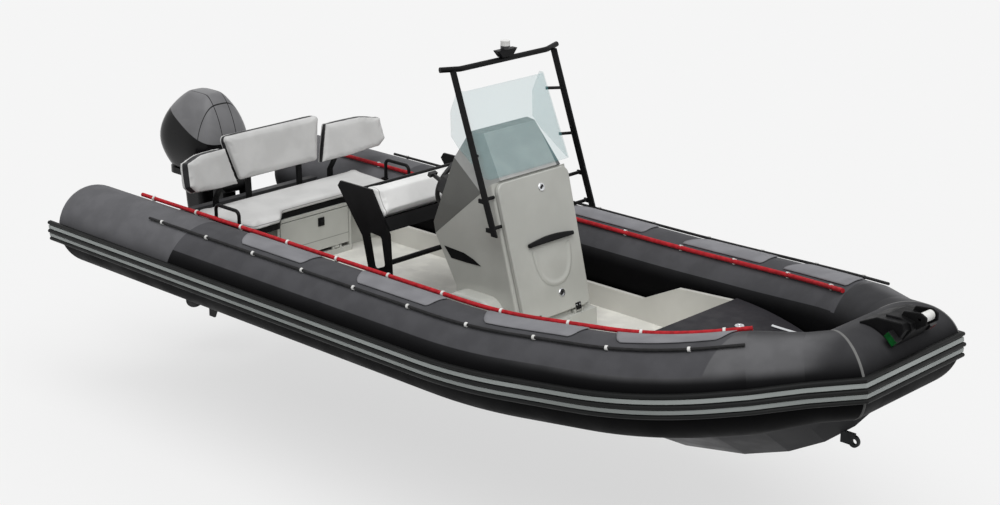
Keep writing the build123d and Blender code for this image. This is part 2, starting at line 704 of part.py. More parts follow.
# Throttle box and lever beside the wheel
throttle_foot = Vector(DASH_LOW_X - 16, -278, DASH_LOW_Z + 72) + dash_run * 250
with BuildPart() as throttle:
    with Locations(Plane(throttle_foot + column * SEAT_GAP, x_dir=(0, 1, 0), z_dir=column)):
        Box(70, 110, 60, align=(Align.CENTER, Align.CENTER, Align.MIN))
        with Locations((0, 10, 60)):
            Box(16, 22, 90, align=(Align.CENTER, Align.CENTER, Align.MIN))
        with Locations((0, 10, 150)):
            Box(60, 26, 26, align=(Align.CENTER, Align.CENTER, Align.MIN))
save(throttle, "throttle")

# Step moulding at the console's starboard foot
with BuildPart() as console_step:
    with Locations((CONSOLE_AFT_X + 180, -CONSOLE_HALF - SEAT_GAP, FLOOR_Z + SEAT_GAP)):
        Box(420, 110, 320, align=(Align.CENTER, Align.MAX, Align.MIN))
    fillet(console_step.edges().filter_by(Axis.Y).group_by(Axis.Z)[-1], 120)
    fillet(console_step.faces().sort_by(Axis.Y)[0].edges().filter_by(lambda e: e.center().Z > 100), 25)
save(console_step, "console_step")

# Leaning post side plates, each with a cut-out
plate_outer = [(-925, 850), (-900, 885), (-605, 885), (-500, 715), (-445, 620), (-430, 340),
               (-395, FLOOR_Z + SEAT_GAP), (-600, FLOOR_Z + SEAT_GAP), (-645, 340), (-700, 560)]
plate_hole = [(-640, 600), (-520, 590), (-490, 400), (-590, 360)]
with BuildPart() as post_plates:
    with BuildSketch(Plane.XZ.offset(-POST_SEAT_HALF)):
        with BuildLine():
            Polyline(*plate_outer, close=True)
        make_face()
        with BuildLine():
            FilletPolyline(*plate_hole, radius=20, close=True)
        make_face(mode=Mode.SUBTRACT)
    extrude(amount=PLATE_THICK)
    mirror(about=Plane.XZ)
save(post_plates, "post_plates")

# Bolster between the plates: a half-round pad with a panel below it
bolster_half = POST_SEAT_HALF - PLATE_THICK - SEAT_GAP
with BuildPart() as post_bolster:
    with BuildSketch(Plane.XZ):
        with BuildLine():
            FilletPolyline((-700, 760), (-690, 890), (-590, 893), (-498, 716), (-560, 690), radius=35, close=True)
        make_face()
    extrude(amount=bolster_half - 12, both=True)
save(post_bolster, "post_bolster")

with BuildPart() as post_panel:
    with BuildSketch(Plane.XZ):
        with BuildLine():
            Polyline((-560, 690 - SEAT_GAP), (-498, 716 - SEAT_GAP), (-448, 640), (-520, 625), (-690, 735),
                     (-700, 760 - SEAT_GAP), close=True)
        make_face()
    extrude(amount=bolster_half, both=True)
save(post_panel, "post_panel")

# Bars between the plates: a back bar and a foot bar
with BuildPart() as post_bars:
    for x, z in ((-740, 850), (-470, 424)):
        with Locations(Plane((x, 0, z), z_dir=(0, 1, 0))):
            Cylinder(17, 2 * bolster_half)
save(post_bars, "post_bars")

DOOR_THICK = 18
door_pin_x = BENCH_FRONT - HINGE_R
door_pin_z = FLOOR_Z + 40 + RUN_GAP + HINGE_R / 2
door_hinges = (-200, 200)

# Bench locker: a hollow base with a front door
with BuildPart() as bench_base:
    with BuildSketch(Plane.XY.offset(FLOOR_Z + SEAT_GAP)):
        with Locations(((BENCH_REAR + BENCH_FRONT) / 2, 0)):
            Rectangle(BENCH_FRONT - BENCH_REAR, 2 * BENCH_HALF)
        with Locations((BENCH_REAR + 160, 0)):
            Rectangle(320, 2 * CUSHION_HALF - 180)
    extrude(amount=BENCH_TOP - FLOOR_Z - SEAT_GAP)
    with Locations((BENCH_FRONT, 0, FLOOR_Z + 40)):
        Box(BENCH_FRONT - BENCH_REAR - 20, 2 * BENCH_HALF - 40, BENCH_TOP - FLOOR_Z - 60,
            align=(Align.MAX, Align.CENTER, Align.MIN), mode=Mode.SUBTRACT)
    hinge_eyes(door_pin_x, FLOOR_Z + 39, door_pin_z, door_hinges)
save(bench_base, "bench_base")

# Bench door in the front of the locker, hinged along its foot
door_low = door_pin_z + HINGE_R + RUN_GAP
with BuildPart() as bench_door:
    with Locations((BENCH_FRONT, 0, door_low)):
        Box(DOOR_THICK, 2 * BENCH_HALF - 40 - 2 * RUN_GAP, BENCH_TOP - 20 - RUN_GAP - door_low,
            align=(Align.MAX, Align.CENTER, Align.MIN))
    for y in door_hinges:
        with Locations((door_pin_x, y, (door_pin_z + door_low) / 2)):
            Box(10, HINGE_TAB, door_low - door_pin_z + 8)
    hinge_pins(door_pin_x, door_pin_z, door_hinges)
save(bench_door, "bench_door")


def bench_outline(inset):
    """Plan of the bench: a shallow bay in the middle and a rounded arm at each side."""
    side = CUSHION_HALF - inset
    with BuildSketch() as plan:
        with BuildLine():
            FilletPolyline((BENCH_REAR + 15 + inset, side), (BENCH_FRONT + 160 - inset, side - 60),
                           (BENCH_FRONT + 155 - inset, 420), (BENCH_FRONT - inset, 283),
                           (BENCH_FRONT - inset, -283), (BENCH_FRONT + 155 - inset, -420),
                           (BENCH_FRONT + 160 - inset, 60 - side), (BENCH_REAR + 15 + inset, -side),
                           radius=50, close=True)
        make_face()
    return plan.sketch


# Board under the bench cushion
with BuildPart() as bench_board:
    with BuildSketch(Plane.XY.offset(BENCH_TOP + SEAT_GAP)):
        add(bench_outline(20))
    extrude(amount=BOARD_THICK - SEAT_GAP)
save(bench_board, "bench_board")

# Bench cushion
with BuildPart() as bench_cushion:
    with BuildSketch(Plane.XY.offset(BENCH_TOP + BOARD_THICK + SEAT_GAP)):
        add(bench_outline(0))
    extrude(amount=CUSHION_THICK)
    fillet(bench_cushion.faces().sort_by(Axis.Z)[-1].edges(), 18)
save(bench_cushion, "bench_cushion")

# Middle backrest, wider at its head
back_up = Vector(-sin(radians(BACK_RAKE)), 0, cos(radians(BACK_RAKE)))
back_out = Vector(cos(radians(BACK_RAKE)), 0, sin(radians(BACK_RAKE)))
back_plane = Plane((BACK_FOOT_X, 0, BACK_FOOT_Z), x_dir=(0, 1, 0), z_dir=back_out)
with BuildPart() as back_middle:
    with BuildSketch(back_plane):
        with BuildLine():
            FilletPolyline((355, 0), (434, BACK_HIGH), (-434, BACK_HIGH), (-355, 0), radius=35, close=True)
        make_face()
    extrude(amount=-BACK_THICK)
    fillet(back_middle.faces().sort_by(Axis((0, 0, 0), back_out))[-1].edges(), 18)
save(back_middle, "back_middle")

# Side backrests, turned in towards the middle
wing_side = Vector(sin(radians(WING_TOE)), cos(radians(WING_TOE)), 0)
wing_out = wing_side.cross(back_up.rotate(Axis.Z, -WING_TOE))
wing_plane = Plane((BACK_FOOT_X + 2, 380, BACK_FOOT_Z), x_dir=wing_side, z_dir=wing_out)
with BuildPart() as back_wings:
    with BuildSketch(wing_plane):
        with BuildLine():
            FilletPolyline((0, 0), (275, 0), (405, 100), (400, 262), (62, 262), radius=25, close=True)
        make_face()
    extrude(amount=-BACK_THICK)
    fillet(back_wings.faces().sort_by(Axis((0, 0, 0), wing_out))[-1].edges(), 15)
    mirror(about=Plane.XZ)
save(back_wings, "back_wings")

# Straps that carry the backrests from the back of the locker
strap_y = [
    # distance from the middle, how far forward the head leans
    (230, 0),
    (-230, 0),
    (520, 62),
    (-520, 62),
]
strap_x = BACK_FOOT_X - BACK_THICK / cos(radians(BACK_RAKE)) + 6
with BuildPart() as back_brackets:
    for y, lean in strap_y:
        with BuildSketch(Plane.XZ.offset(-y)):
            with BuildLine():
                Polyline((BENCH_REAR - SEAT_GAP, 300), (BENCH_REAR - SEAT_GAP, 520), (strap_x + lean, BACK_FOOT_Z - 10),
                         (strap_x + lean - 31, BACK_FOOT_Z + 140), (strap_x + lean - 50, BACK_FOOT_Z + 140),
                         (strap_x + lean - 20, BACK_FOOT_Z - 14), (BENCH_REAR - 20, 520), (BENCH_REAR - 20, 300),
                         close=True)
            make_face()
        extrude(amount=20, both=True)
    add(back_wings.part, mode=Mode.SUBTRACT)
    add(back_middle.part, mode=Mode.SUBTRACT)
save(back_brackets, "back_brackets")

# Handrails on the aft quarters
RAIL_Y = 770
RAIL_Z = 600
with BuildPart() as aft_handrails:
    with BuildLine():
        FilletPolyline((-1815, RAIL_Y, TUBE_Z + 150), (-1815, RAIL_Y, RAIL_Z), (-1573, RAIL_Y, RAIL_Z),
                       (-1573, RAIL_Y, TUBE_Z + 150), radius=35)
    with BuildSketch(Plane((-1815, RAIL_Y, TUBE_Z + 150), z_dir=(0, 0, 1))):
        Circle(12)
    sweep()
    for x in (-1815, -1573):
        with Locations((x, RAIL_Y, TUBE_Z + 175)):
            Box(50, 50, 40)
    mirror(about=Plane.XZ)
    add(tube_seats, mode=Mode.SUBTRACT)
save(aft_handrails, "aft_handrails")

# Engine clamp: two plates on the transom, bored for the tilt pin
clamp_x = TRANSOM_X - TRANSOM_THICK - 2 * SEAT_GAP
with BuildPart() as engine_clamp:
    with BuildSketch(Plane.XZ.offset(-CLAMP_Y)):
        with BuildLine():
            Polyline((clamp_x, -160), (clamp_x, TILT_Z - 10), (TILT_X, TILT_Z + CLAMP_EYE_R - 2),
                     (TILT_X - CLAMP_EYE_R, TILT_Z), (TILT_X - CLAMP_EYE_R, TILT_Z - 60), (clamp_x - 40, -160),
                     close=True)
        make_face()
        with Locations((TILT_X, TILT_Z)):
            Circle(CLAMP_EYE_R)
            Circle(PIN_R + BEARING, mode=Mode.SUBTRACT)
    extrude(amount=-CLAMP_THICK)
    mirror(about=Plane.XZ)
save(engine_clamp, "engine_clamp")

# Swivel bracket: the tilt pin and the steering sleeve
with BuildPart() as engine_swivel:
    with Locations(Plane((TILT_X, 0, TILT_Z), z_dir=(0, 1, 0))):
        Cylinder(PIN_R, 2 * (CLAMP_Y + CLAMP_THICK + 12))
        Cylinder(44, 2 * (CLAMP_Y - RUN_GAP - 4))
    with Locations(((TILT_X + STEER_X) / 2, 0, (SWIVEL_LOW + SWIVEL_HIGH) / 2)):
        Box(TILT_X - STEER_X, 90, SWIVEL_HIGH - SWIVEL_LOW - 40)
    with Locations((STEER_X, 0, SWIVEL_LOW)):
        Cylinder(SWIVEL_R, SWIVEL_HIGH - SWIVEL_LOW, align=(Align.CENTER, Align.CENTER, Align.MIN))
        Cylinder(STEER_R + BEARING, SWIVEL_HIGH - SWIVEL_LOW, align=(Align.CENTER, Align.CENTER, Align.MIN),
                 mode=Mode.SUBTRACT)
save(engine_swivel, "engine_swivel")


def cowl_form(inset):
    """Cowl as a loft of rounded plans, drawn in by an inset for its hollow."""
    levels = [
        # z, centre x, length, width
        (COWL_Z, COWL_X + 20, 520, 400),
        (COWL_Z + 200, COWL_X, 600, 480),
        (COWL_Z + 410, COWL_X, 560, 440),
        (COWL_TOP - inset, COWL_X + 10, 360, 280),
    ]
    with BuildPart() as form:
        for z, x, length, width in levels:
            with BuildSketch(Plane((x, 0, z))):
                RectangleRounded(length - 2 * inset, width - 2 * inset, 120)
        loft()
    return form.part


# Engine cowl
with BuildPart() as engine_cowl:
    add(cowl_form(0))
    add(cowl_form(COWL_WALL), mode=Mode.SUBTRACT)
save(engine_cowl, "engine_cowl")

# Engine block under the cowl
with BuildPart() as engine_block:
    with Locations((COWL_X + 10, 0, COWL_Z + SEAT_GAP)):
        Box(380, 280, 440, align=(Align.CENTER, Align.CENTER, Align.MIN))
save(engine_block, "engine_block")

# Leg: tray under the cowl, steering shaft, midsection, plate, gearcase and skeg
with BuildPart() as engine_leg:
    with BuildSketch(Plane((COWL_X + 20, 0, COWL_Z - SEAT_GAP))):
        RectangleRounded(510, 390, 110)
    extrude(amount=-45)
    with BuildSketch(Plane((COWL_X - 35, 0, COWL_Z - 40))):
        RectangleRounded(240, 230, 60)
    with BuildSketch(Plane((COWL_X - 35, 0, 0))):
        RectangleRounded(225, 150, 50)
    with BuildSketch(Plane((COWL_X, 0, PLATE_Z))):
        RectangleRounded(200, 70, 30)
    loft()
    with Locations((STEER_X, 0, SWIVEL_LOW - 50)):
        Cylinder(STEER_R, COWL_Z - 40 - SWIVEL_LOW + 50, align=(Align.CENTER, Align.CENTER, Align.MIN))
    with Locations((STEER_X - 40, 0, SWIVEL_LOW - 50)):
        Box(160, 80, 44, align=(Align.CENTER, Align.CENTER, Align.MIN))
    with BuildSketch(Plane((COWL_X - 60, 0, PLATE_Z))):
        RectangleRounded(420, 200, 80)
    extrude(amount=-10)
    with Locations((COWL_X + 50, 0, (PLATE_Z + PROP_Z) / 2)):
        Box(170, 50, PLATE_Z - PROP_Z)
    with BuildSketch(Plane.XZ):
        with BuildLine():
            Polyline((PROP_X + RUN_GAP + 50, PROP_Z), (PROP_X + RUN_GAP + 50, PROP_Z + 52),
                     (COWL_X + 60, PROP_Z + 60), (COWL_X + 150, PROP_Z + 40), (COWL_X + 190, PROP_Z), close=True)
        make_face()
    revolve(axis=Axis((0, 0, PROP_Z), (1, 0, 0)))
    with Locations(Plane((PROP_X + 60, 0, PROP_Z), z_dir=(-1, 0, 0))):
        Cylinder(SHAFT_R, SHAFT_LONG, align=(Align.CENTER, Align.CENTER, Align.MIN))
    with BuildSketch(Plane.XZ):
        with BuildLine():
            Polyline((COWL_X + 110, PROP_Z), (COWL_X + 20, SKEG_Z), (COWL_X - 42, SKEG_Z), (COWL_X - 38, PROP_Z),
                     close=True)
        make_face()
    extrude(amount=7, both=True)
save(engine_leg, "engine_leg")

# Propeller with three pitched blades
with BuildPart() as propeller:
    with Locations(Plane((PROP_X + 50, 0, PROP_Z), z_dir=(-1, 0, 0))):
        Cylinder(52, 110, align=(Align.CENTER, Align.CENTER, Align.MIN))
    for angle in (0, 120, 240):
        radial = Vector(0, 0, 1).rotate(Axis.X, angle)
        pitch = Vector(1, 0, 0).rotate(Axis((0, 0, 0), radial), 55)
        with BuildSketch(Plane(Vector(PROP_X, 0, PROP_Z) + radial * (PROP_R / 2 + 20), x_dir=radial, z_dir=pitch)):
            Ellipse(PROP_R / 2 - 20, 62)
        extrude(amount=4, both=True)
    with Locations(Plane((PROP_X + 60, 0, PROP_Z), z_dir=(-1, 0, 0))):
        Cylinder(SHAFT_R + BEARING, SHAFT_LONG + RUN_GAP, align=(Align.CENTER, Align.CENTER, Align.MIN), mode=Mode.SUBTRACT)
save(propeller, "propeller")

AXLE_R = 8
roller_at = Vector(BOW_X + 285, 0, BOW_Z + BOW_R + 75)

# Bow moulding on the bow tube with two cheeks for the roller
with BuildPart() as bow_moulding:
    with BuildSketch(Plane.XZ):
        with Locations((BOW_X, BOW_Z)):
            Circle(BOW_R + 36)
            Circle(BOW_R + SEAT_GAP, mode=Mode.SUBTRACT)
        with BuildLine():
            Polyline((BOW_X, BOW_Z), (BOW_X - 60, BOW_Z + 2 * BOW_R), (BOW_X + 2 * BOW_R, BOW_Z + 2 * BOW_R),
                     (BOW_X + 2 * BOW_R, BOW_Z + 0.47 * 2 * BOW_R), close=True)
        make_face(mode=Mode.INTERSECT)
    extrude(amount=210, both=True)
    for side in (-1, 1):
        with BuildSketch(Plane.XZ.offset(-side * 56)):
            with BuildLine():
                Polyline((BOW_X + 90, BOW_Z + BOW_R + 10), (BOW_X + 120, BOW_Z + BOW_R + 110),
                         (BOW_X + 300, BOW_Z + BOW_R + 130), (BOW_X + 320, BOW_Z + BOW_R + 60),
                         (BOW_X + 250, BOW_Z + 150), (BOW_X + 215, BOW_Z + 150), close=True)
            make_face()
        extrude(amount=7, both=True)
    with Locations(Plane(roller_at, z_dir=(0, 1, 0))):
        Cylinder(AXLE_R + BEARING, 200, mode=Mode.SUBTRACT)
    add(tube_seats[2], mode=Mode.SUBTRACT)
save(bow_moulding, "bow_moulding")

# Roller between the cheeks
with BuildPart() as bow_roller:
    with Locations(Plane(roller_at, z_dir=(0, 1, 0))):
        Cylinder(28, 2 * (56 - 7 - RUN_GAP))
        Cylinder(AXLE_R, 2 * (56 + 7))
save(bow_roller, "bow_roller")

# Side lights on the bow moulding
light_at = Vector(cos(radians(48)), 0, sin(radians(48)))
with BuildPart() as side_lights:
    for side in (-1, 1):
        foot = Vector(BOW_X, side * 165, BOW_Z) + light_at * (BOW_R + 36 + SEAT_GAP)
        with Locations(Plane(foot, x_dir=(0, 1, 0), z_dir=light_at)):
            Box(60, 70, 40, align=(Align.CENTER, Align.CENTER, Align.MIN))
save(side_lights, "side_lights")

# Bow eye on the stem and two eyes on the transom
EYE_R = 16
with BuildPart() as towing_eyes:
    with BuildSketch(Plane.XZ):
        with Locations((2760, 40)):
            Circle(2.2 * EYE_R)
        with Locations((2720, 50)):
            Rectangle(90, 70)
        with Locations((2765, 40)):
            Circle(EYE_R, mode=Mode.SUBTRACT)
    extrude(amount=9, both=True)
    for side in (-1, 1):
        with BuildSketch(Plane.XZ.offset(-side * 520)):
            with Locations((TRANSOM_X - TRANSOM_THICK - 40, -70)):
                Circle(2.2 * EYE_R)
            with Locations((TRANSOM_X - TRANSOM_THICK - 2 * SEAT_GAP, -70)):
                Rectangle(40, 70, align=(Align.MAX, Align.CENTER))
            with Locations((TRANSOM_X - TRANSOM_THICK - 42, -70)):
                Circle(EYE_R, mode=Mode.SUBTRACT)
        extrude(amount=9, both=True)
    add(hull.part, mode=Mode.SUBTRACT)
    add(transom.part, mode=Mode.SUBTRACT)
save(towing_eyes, "towing_eyes")
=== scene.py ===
import math

import bmesh
import bpy
import numpy as np
from mathutils import Matrix, Vector
from mathutils.bvhtree import BVHTree


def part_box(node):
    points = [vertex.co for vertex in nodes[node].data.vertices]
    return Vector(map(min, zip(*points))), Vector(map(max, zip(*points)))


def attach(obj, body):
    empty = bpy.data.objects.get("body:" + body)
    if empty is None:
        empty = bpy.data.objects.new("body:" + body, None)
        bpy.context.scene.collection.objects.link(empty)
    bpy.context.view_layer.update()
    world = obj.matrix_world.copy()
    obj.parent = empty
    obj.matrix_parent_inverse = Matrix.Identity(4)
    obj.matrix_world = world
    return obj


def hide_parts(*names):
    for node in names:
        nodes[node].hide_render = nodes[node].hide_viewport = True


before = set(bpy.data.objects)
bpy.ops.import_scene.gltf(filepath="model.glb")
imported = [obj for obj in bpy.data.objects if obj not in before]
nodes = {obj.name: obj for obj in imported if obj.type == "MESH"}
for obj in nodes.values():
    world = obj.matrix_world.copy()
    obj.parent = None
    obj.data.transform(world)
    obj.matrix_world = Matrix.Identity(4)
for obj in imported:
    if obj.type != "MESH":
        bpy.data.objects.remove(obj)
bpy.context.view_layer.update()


# Hull and transom
# The rigid bottom is a deep V moulded in dark grey gelcoat over glass laminate, polished outside.
# The transom board is bonded across its stern and carries the engine.
def linear(colour):
    """A colour written in hex, as the linear values that a shader takes."""
    parts = [int(colour[i:i + 2], 16) / 255 for i in (1, 3, 5)]
    return [c / 12.92 if c <= 0.04045 else ((c + 0.055) / 1.055) ** 2.4 for c in parts] + [1]


class Finish:
    """A surface finish: clouds of two shades, uneven gloss and a grain in relief, with room for paint."""

    # Where a mix node has its two inputs and its result.
    SOCKETS = {"RGBA": (6, 7, 2), "FLOAT": (2, 3, 0)}

    def __init__(self, name, light, dark, rough, cloud=3, grain=400, relief=0.15, depth=0.0005, edge=0.0025):
        self.material = bpy.data.materials.new(name)
        self.material.use_nodes = True
        self.tree = self.material.node_tree
        self.shader = self.tree.nodes["Principled BSDF"]
        self.place = self.add("TexCoord").outputs["Object"]
        self.facing = self.add("NewGeometry").outputs["Normal"]
        self.colour = self.blend(self.clouds(cloud, 0.35, 0.65), linear(dark), linear(light))
        self.gloss = self.ramp(self.clouds(cloud * 4, 0.3, 0.7), 0, 1, rough - 0.06, rough + 0.08)
        self.height = self.noise(grain)
        self.relief, self.depth, self.edge = relief, depth, edge

    def add(self, kind, **settings):
        """A new shader node with its settings."""
        node = self.tree.nodes.new("ShaderNode" + kind)
        for key, value in settings.items():
            setattr(node, key, value)
        return node

    def feed(self, socket, value):
        """Links an output to a socket, or sets the socket's own value."""
        if hasattr(value, "is_output"):
            self.tree.links.new(value, socket)
        else:
            socket.default_value = value

    def calc(self, kind, *values):
        """One reckoning on numbers or outputs."""
        node = self.add("Math", operation=kind)
        for socket, value in zip(node.inputs, values):
            self.feed(socket, value)
        return node.outputs["Value"]

    def ramp(self, value, start, end, low, high, kind="LINEAR"):
        """From low at start to high at end."""
        node = self.add("MapRange", interpolation_type=kind)
        limits = {"Value": value, "From Min": start, "From Max": end, "To Min": low, "To Max": high}
        for name, limit in limits.items():
            self.feed(node.inputs[name], limit)
        return node.outputs["Result"]

    def step(self, value, start, end):
        """0 before start, 1 past end and a smooth slope between them, on a rising or a falling value."""
        return self.ramp(value, start, end, 0, 1, "SMOOTHSTEP")

    def line(self, distance, outer, core):
        """A thin line where a distance is nearly nothing: full within core and gone beyond outer."""
        return self.step(self.calc("ABSOLUTE", distance), outer, core)

    def both(self, *areas):
        """The part that all the areas share."""
        shared = areas[0]
        for area in areas[1:]:
            shared = self.calc("MULTIPLY", shared, area)
        return shared

    def blend(self, share, below, above, kind="RGBA"):
        """A colour or a number laid over another, by a share."""
        node = self.add("Mix", data_type=kind)
        first, second, result = self.SOCKETS[kind]
        self.feed(node.inputs["Factor"], share)
        self.feed(node.inputs[first], below)
        self.feed(node.inputs[second], above)
        return node.outputs[result]

    def axis(self, name, vector=None):
        """One coordinate of the point on the piece, or of another vector."""
        split = self.add("SeparateXYZ")
        self.feed(split.inputs["Vector"], vector or self.place)
        return split.outputs[name]

    def toward(self, name):
        """How squarely the surface faces along an axis, from -1 to 1."""
        return self.axis(name, self.facing)

    def off_middle(self):
        """Distance from the middle plane of the boat."""
        return self.calc("ABSOLUTE", self.axis("Y"))

    def beyond(self, foot, out):
        """How far a point lies beyond a plane through foot, the same on both sides of the boat."""
        depth = 0.0
        for axis, start, lean in zip((self.axis("X"), self.off_middle(), self.axis("Z")), foot, out):
            depth = self.calc("MULTIPLY_ADD", self.calc("SUBTRACT", axis, start), lean, depth)
        return depth

    def noise(self, scale):
        """Uneven spots, more of them at a larger scale."""
        node = self.add("TexNoise")
        self.feed(node.inputs["Vector"], self.place)
        self.feed(node.inputs["Scale"], scale)
        self.feed(node.inputs["Detail"], 4)
        return node.outputs["Fac"]

    def clouds(self, scale, start, end):
        """Soft patches with clear places between them."""
        return self.step(self.noise(scale), start, end)

    def weave(self, scale, distortion=0, **settings):
        """Even bands, for threads and strands."""
        node = self.add("TexWave", **settings)
        self.feed(node.inputs["Vector"], self.place)
        self.feed(node.inputs["Scale"], scale)
        self.feed(node.inputs["Distortion"], distortion)
        return node.outputs["Fac"]

    def emboss(self, area, amount):
        """More relief over one area, raised or sunk."""
        self.height = self.calc("MULTIPLY_ADD", area, amount, self.height)

    def paint(self, area, colour, gloss=None):
        """Another colour over one area, mottled as the ground is."""
        shade = linear(colour)
        worn = [c * 0.86 for c in shade[:3]] + [1]
        self.colour = self.blend(area, self.colour, self.blend(self.clouds(7, 0.35, 0.65), worn, shade))
        if gloss is not None:
            self.gloss = self.blend(area, self.gloss, gloss, "FLOAT")

    def dust(self, colour, share):
        """A thin pale film where the surface faces up."""
        area = self.both(self.step(self.toward("Z"), 0.55, 0.98), self.clouds(9, 0.4, 0.75), share)
        self.colour = self.blend(area, self.colour, linear(colour))

    def done(self, metal=0, clear=0, level=0.5, alpha=1):
        """The finished material, its edges a little rounded to the light."""
        soft = self.add("Bevel", samples=4)
        self.feed(soft.inputs["Radius"], self.edge)
        bump = self.add("Bump")
        self.feed(bump.inputs["Strength"], self.relief)
        self.feed(bump.inputs["Distance"], self.depth)
        self.feed(bump.inputs["Height"], self.height)
        self.feed(bump.inputs["Normal"], soft.outputs["Normal"])
        sockets = {"Normal": bump.outputs["Normal"], "Base Color": self.colour, "Roughness": self.gloss,
                   "Metallic": metal, "Coat Weight": clear, "Specular IOR Level": level, "Alpha": alpha}
        for name, value in sockets.items():
            self.feed(self.shader.inputs[name], value)
        return self.material


def dress(material, *names):
    """Puts a finish on CAD pieces."""
    for name in names:
        mesh = nodes[name].data
        mesh.materials.clear()
        mesh.materials.append(material)


hull_coat = Finish("hull gelcoat", "#4a4a4c", "#424244", 0.34, cloud=1.5, grain=120, relief=0.05)
hull_coat.dust("#6b6a66", 0.3)
dress(hull_coat.done(level=0.03), "hull", "transom")

# Deck moulding
# One light grey moulding makes the cockpit floor, the coamings and the bow locker.
# Its floor has a fine non-slip print, and the ledge round the bow locker is black.
FLOOR_TOP = 0.05
LEDGE_FOOT, LEDGE_AFT = 0.390, 1.56
DOT_SCALE = 140
deck_coat = Finish("deck gelcoat", "#dad9d3", "#cecdc7", 0.42, cloud=2, grain=90, relief=0.05)
deck_height = deck_coat.axis("Z")
tread = deck_coat.both(deck_coat.step(deck_coat.toward("Z"), 0.95, 0.98),
                       deck_coat.calc("LESS_THAN", deck_height, FLOOR_TOP))
deck_coat.paint(tread, "#e6e5de", 0.62)
ledge = deck_coat.both(deck_coat.step(deck_height, LEDGE_FOOT - 0.002, LEDGE_FOOT + 0.002),
                       deck_coat.calc("GREATER_THAN", deck_coat.axis("X"), LEDGE_AFT))
deck_coat.paint(ledge, "#262529", 0.5)
dots = deck_coat.add("TexVoronoi")
deck_coat.feed(dots.inputs["Vector"], deck_coat.place)
deck_coat.feed(dots.inputs["Scale"], DOT_SCALE)
deck_coat.height = deck_coat.both(deck_coat.step(dots.outputs["Distance"], 0.5, 0.2), tread)
deck_coat.relief, deck_coat.depth = 0.35, 0.0008
dress(deck_coat.done(), "deck")

# Buoyancy tubes
# Three chambers of coated black fabric, painted lighter toward their tops and toward the bow as painted top
# light and sheen, with a grey panel round the stern.
# The crown is painted a lighter grey still as painted top light, and tapes cover the seams between the
# chambers.
STERN_PANEL, PANEL_SLANT = -1.84, -0.3
CROWN_LIGHT_END = 2.36
SEAM_TAPES, TAPE, TAPE_EDGE = (-1.79, -0.35, 1.20), 0.035, 0.003
MITRE_AT, MITRE_OUT, MITRE_AFT = (2.865, 0.315, 0.550), (0.498, -0.860, 0.109), 2.40
THREADS = 260
tube_cloth = Finish("tube fabric", "#0e0e0f", "#0a0a0b", 0.5, cloud=1.2, grain=900, relief=0.2, depth=0.0005)
along = tube_cloth.axis("X")
upward = tube_cloth.toward("Z")
outward = tube_cloth.both(tube_cloth.toward("Y"), tube_cloth.calc("SIGN", tube_cloth.axis("Y")))
# Painted top light: the upper half of each tube is painted grey, fading to black toward the underside.
tube_cloth.paint(tube_cloth.step(upward, 0.22, 0.85), "#414143", 0.52)
# Painted sheen: the outer upper sides of the forward tubes are painted paler, for the light falling from the
# bow.
painted_bow_sheen = tube_cloth.both(tube_cloth.step(along, 0.9, 2.0), tube_cloth.step(along, 2.95, 2.7),
                           tube_cloth.step(upward, 0.36, 0.6), tube_cloth.step(outward, -0.1, 0.3), 0.85)
tube_cloth.paint(painted_bow_sheen, "#6e6e70", 0.5)
# Painted top light: the crown, where the tube faces up, is painted a lighter grey, up to where the lifelines
# end.
painted_crown_light = tube_cloth.both(tube_cloth.step(upward, 0.49, 0.505),
                        tube_cloth.step(along, CROWN_LIGHT_END + 0.01, CROWN_LIGHT_END))
tube_cloth.paint(painted_crown_light, "#545457", 0.55)
slant = tube_cloth.calc("MULTIPLY_ADD", tube_cloth.axis("Z"), PANEL_SLANT, along)
panel = tube_cloth.step(slant, STERN_PANEL, STERN_PANEL - TAPE_EDGE)
# The grey stern panel is the fabric's own colour; it fades into black toward the underside as painted shade.
tube_cloth.paint(tube_cloth.both(panel, tube_cloth.step(upward, -0.25, 0.55)), "#6a6a6d", 0.5)
bow_tape = tube_cloth.both(tube_cloth.line(tube_cloth.beyond(MITRE_AT, MITRE_OUT), 0.009, 0.005),
                           tube_cloth.step(along, MITRE_AFT, MITRE_AFT + 0.01))
tube_cloth.paint(bow_tape, "#7f7f7e", 0.5)
tube_cloth.emboss(tube_cloth.weave(THREADS, 1.5), 0.25)
for x in SEAM_TAPES:
    tape = tube_cloth.both(tube_cloth.step(along, x, x + TAPE_EDGE),
                           tube_cloth.step(along, x + TAPE, x + TAPE - TAPE_EDGE))
    tube_cloth.emboss(tape, 1.6)
dress(tube_cloth.done(level=0.02), "tube_port", "tube_starboard", "tube_bow")

# Tube pads
# Eight light grey pads of thicker fabric lie on the crown of the tubes, where people sit and step.
# Each is cut with a slanted aft end, laid on the tube's own curve and glued down.
SIDES = ((1, "port"), (-1, "starboard"))
PAD_HALF, PAD_PROUD, PAD_SLANT, PAD_CORNER = 0.088, 0.0045, 0.12, 0.02
PAD_STEPS, PAD_ACROSS = 32, 10
CREST_DROP = 0.04
pad_spans = [(-1.32, -0.60), (-0.23, 0.51), (0.82, 1.53), (1.69, 2.33)]
pad_cloth = Finish("pad fabric", "#88888c", "#7c7c80", 0.62, cloud=6, grain=700, relief=0.3, depth=0.0006)
pad_grey = pad_cloth.done(level=0.2)


def placed(name, data):
    """A new object in the scene."""
    thing = bpy.data.objects.new(name, data)
    bpy.context.scene.collection.objects.link(thing)
    return thing


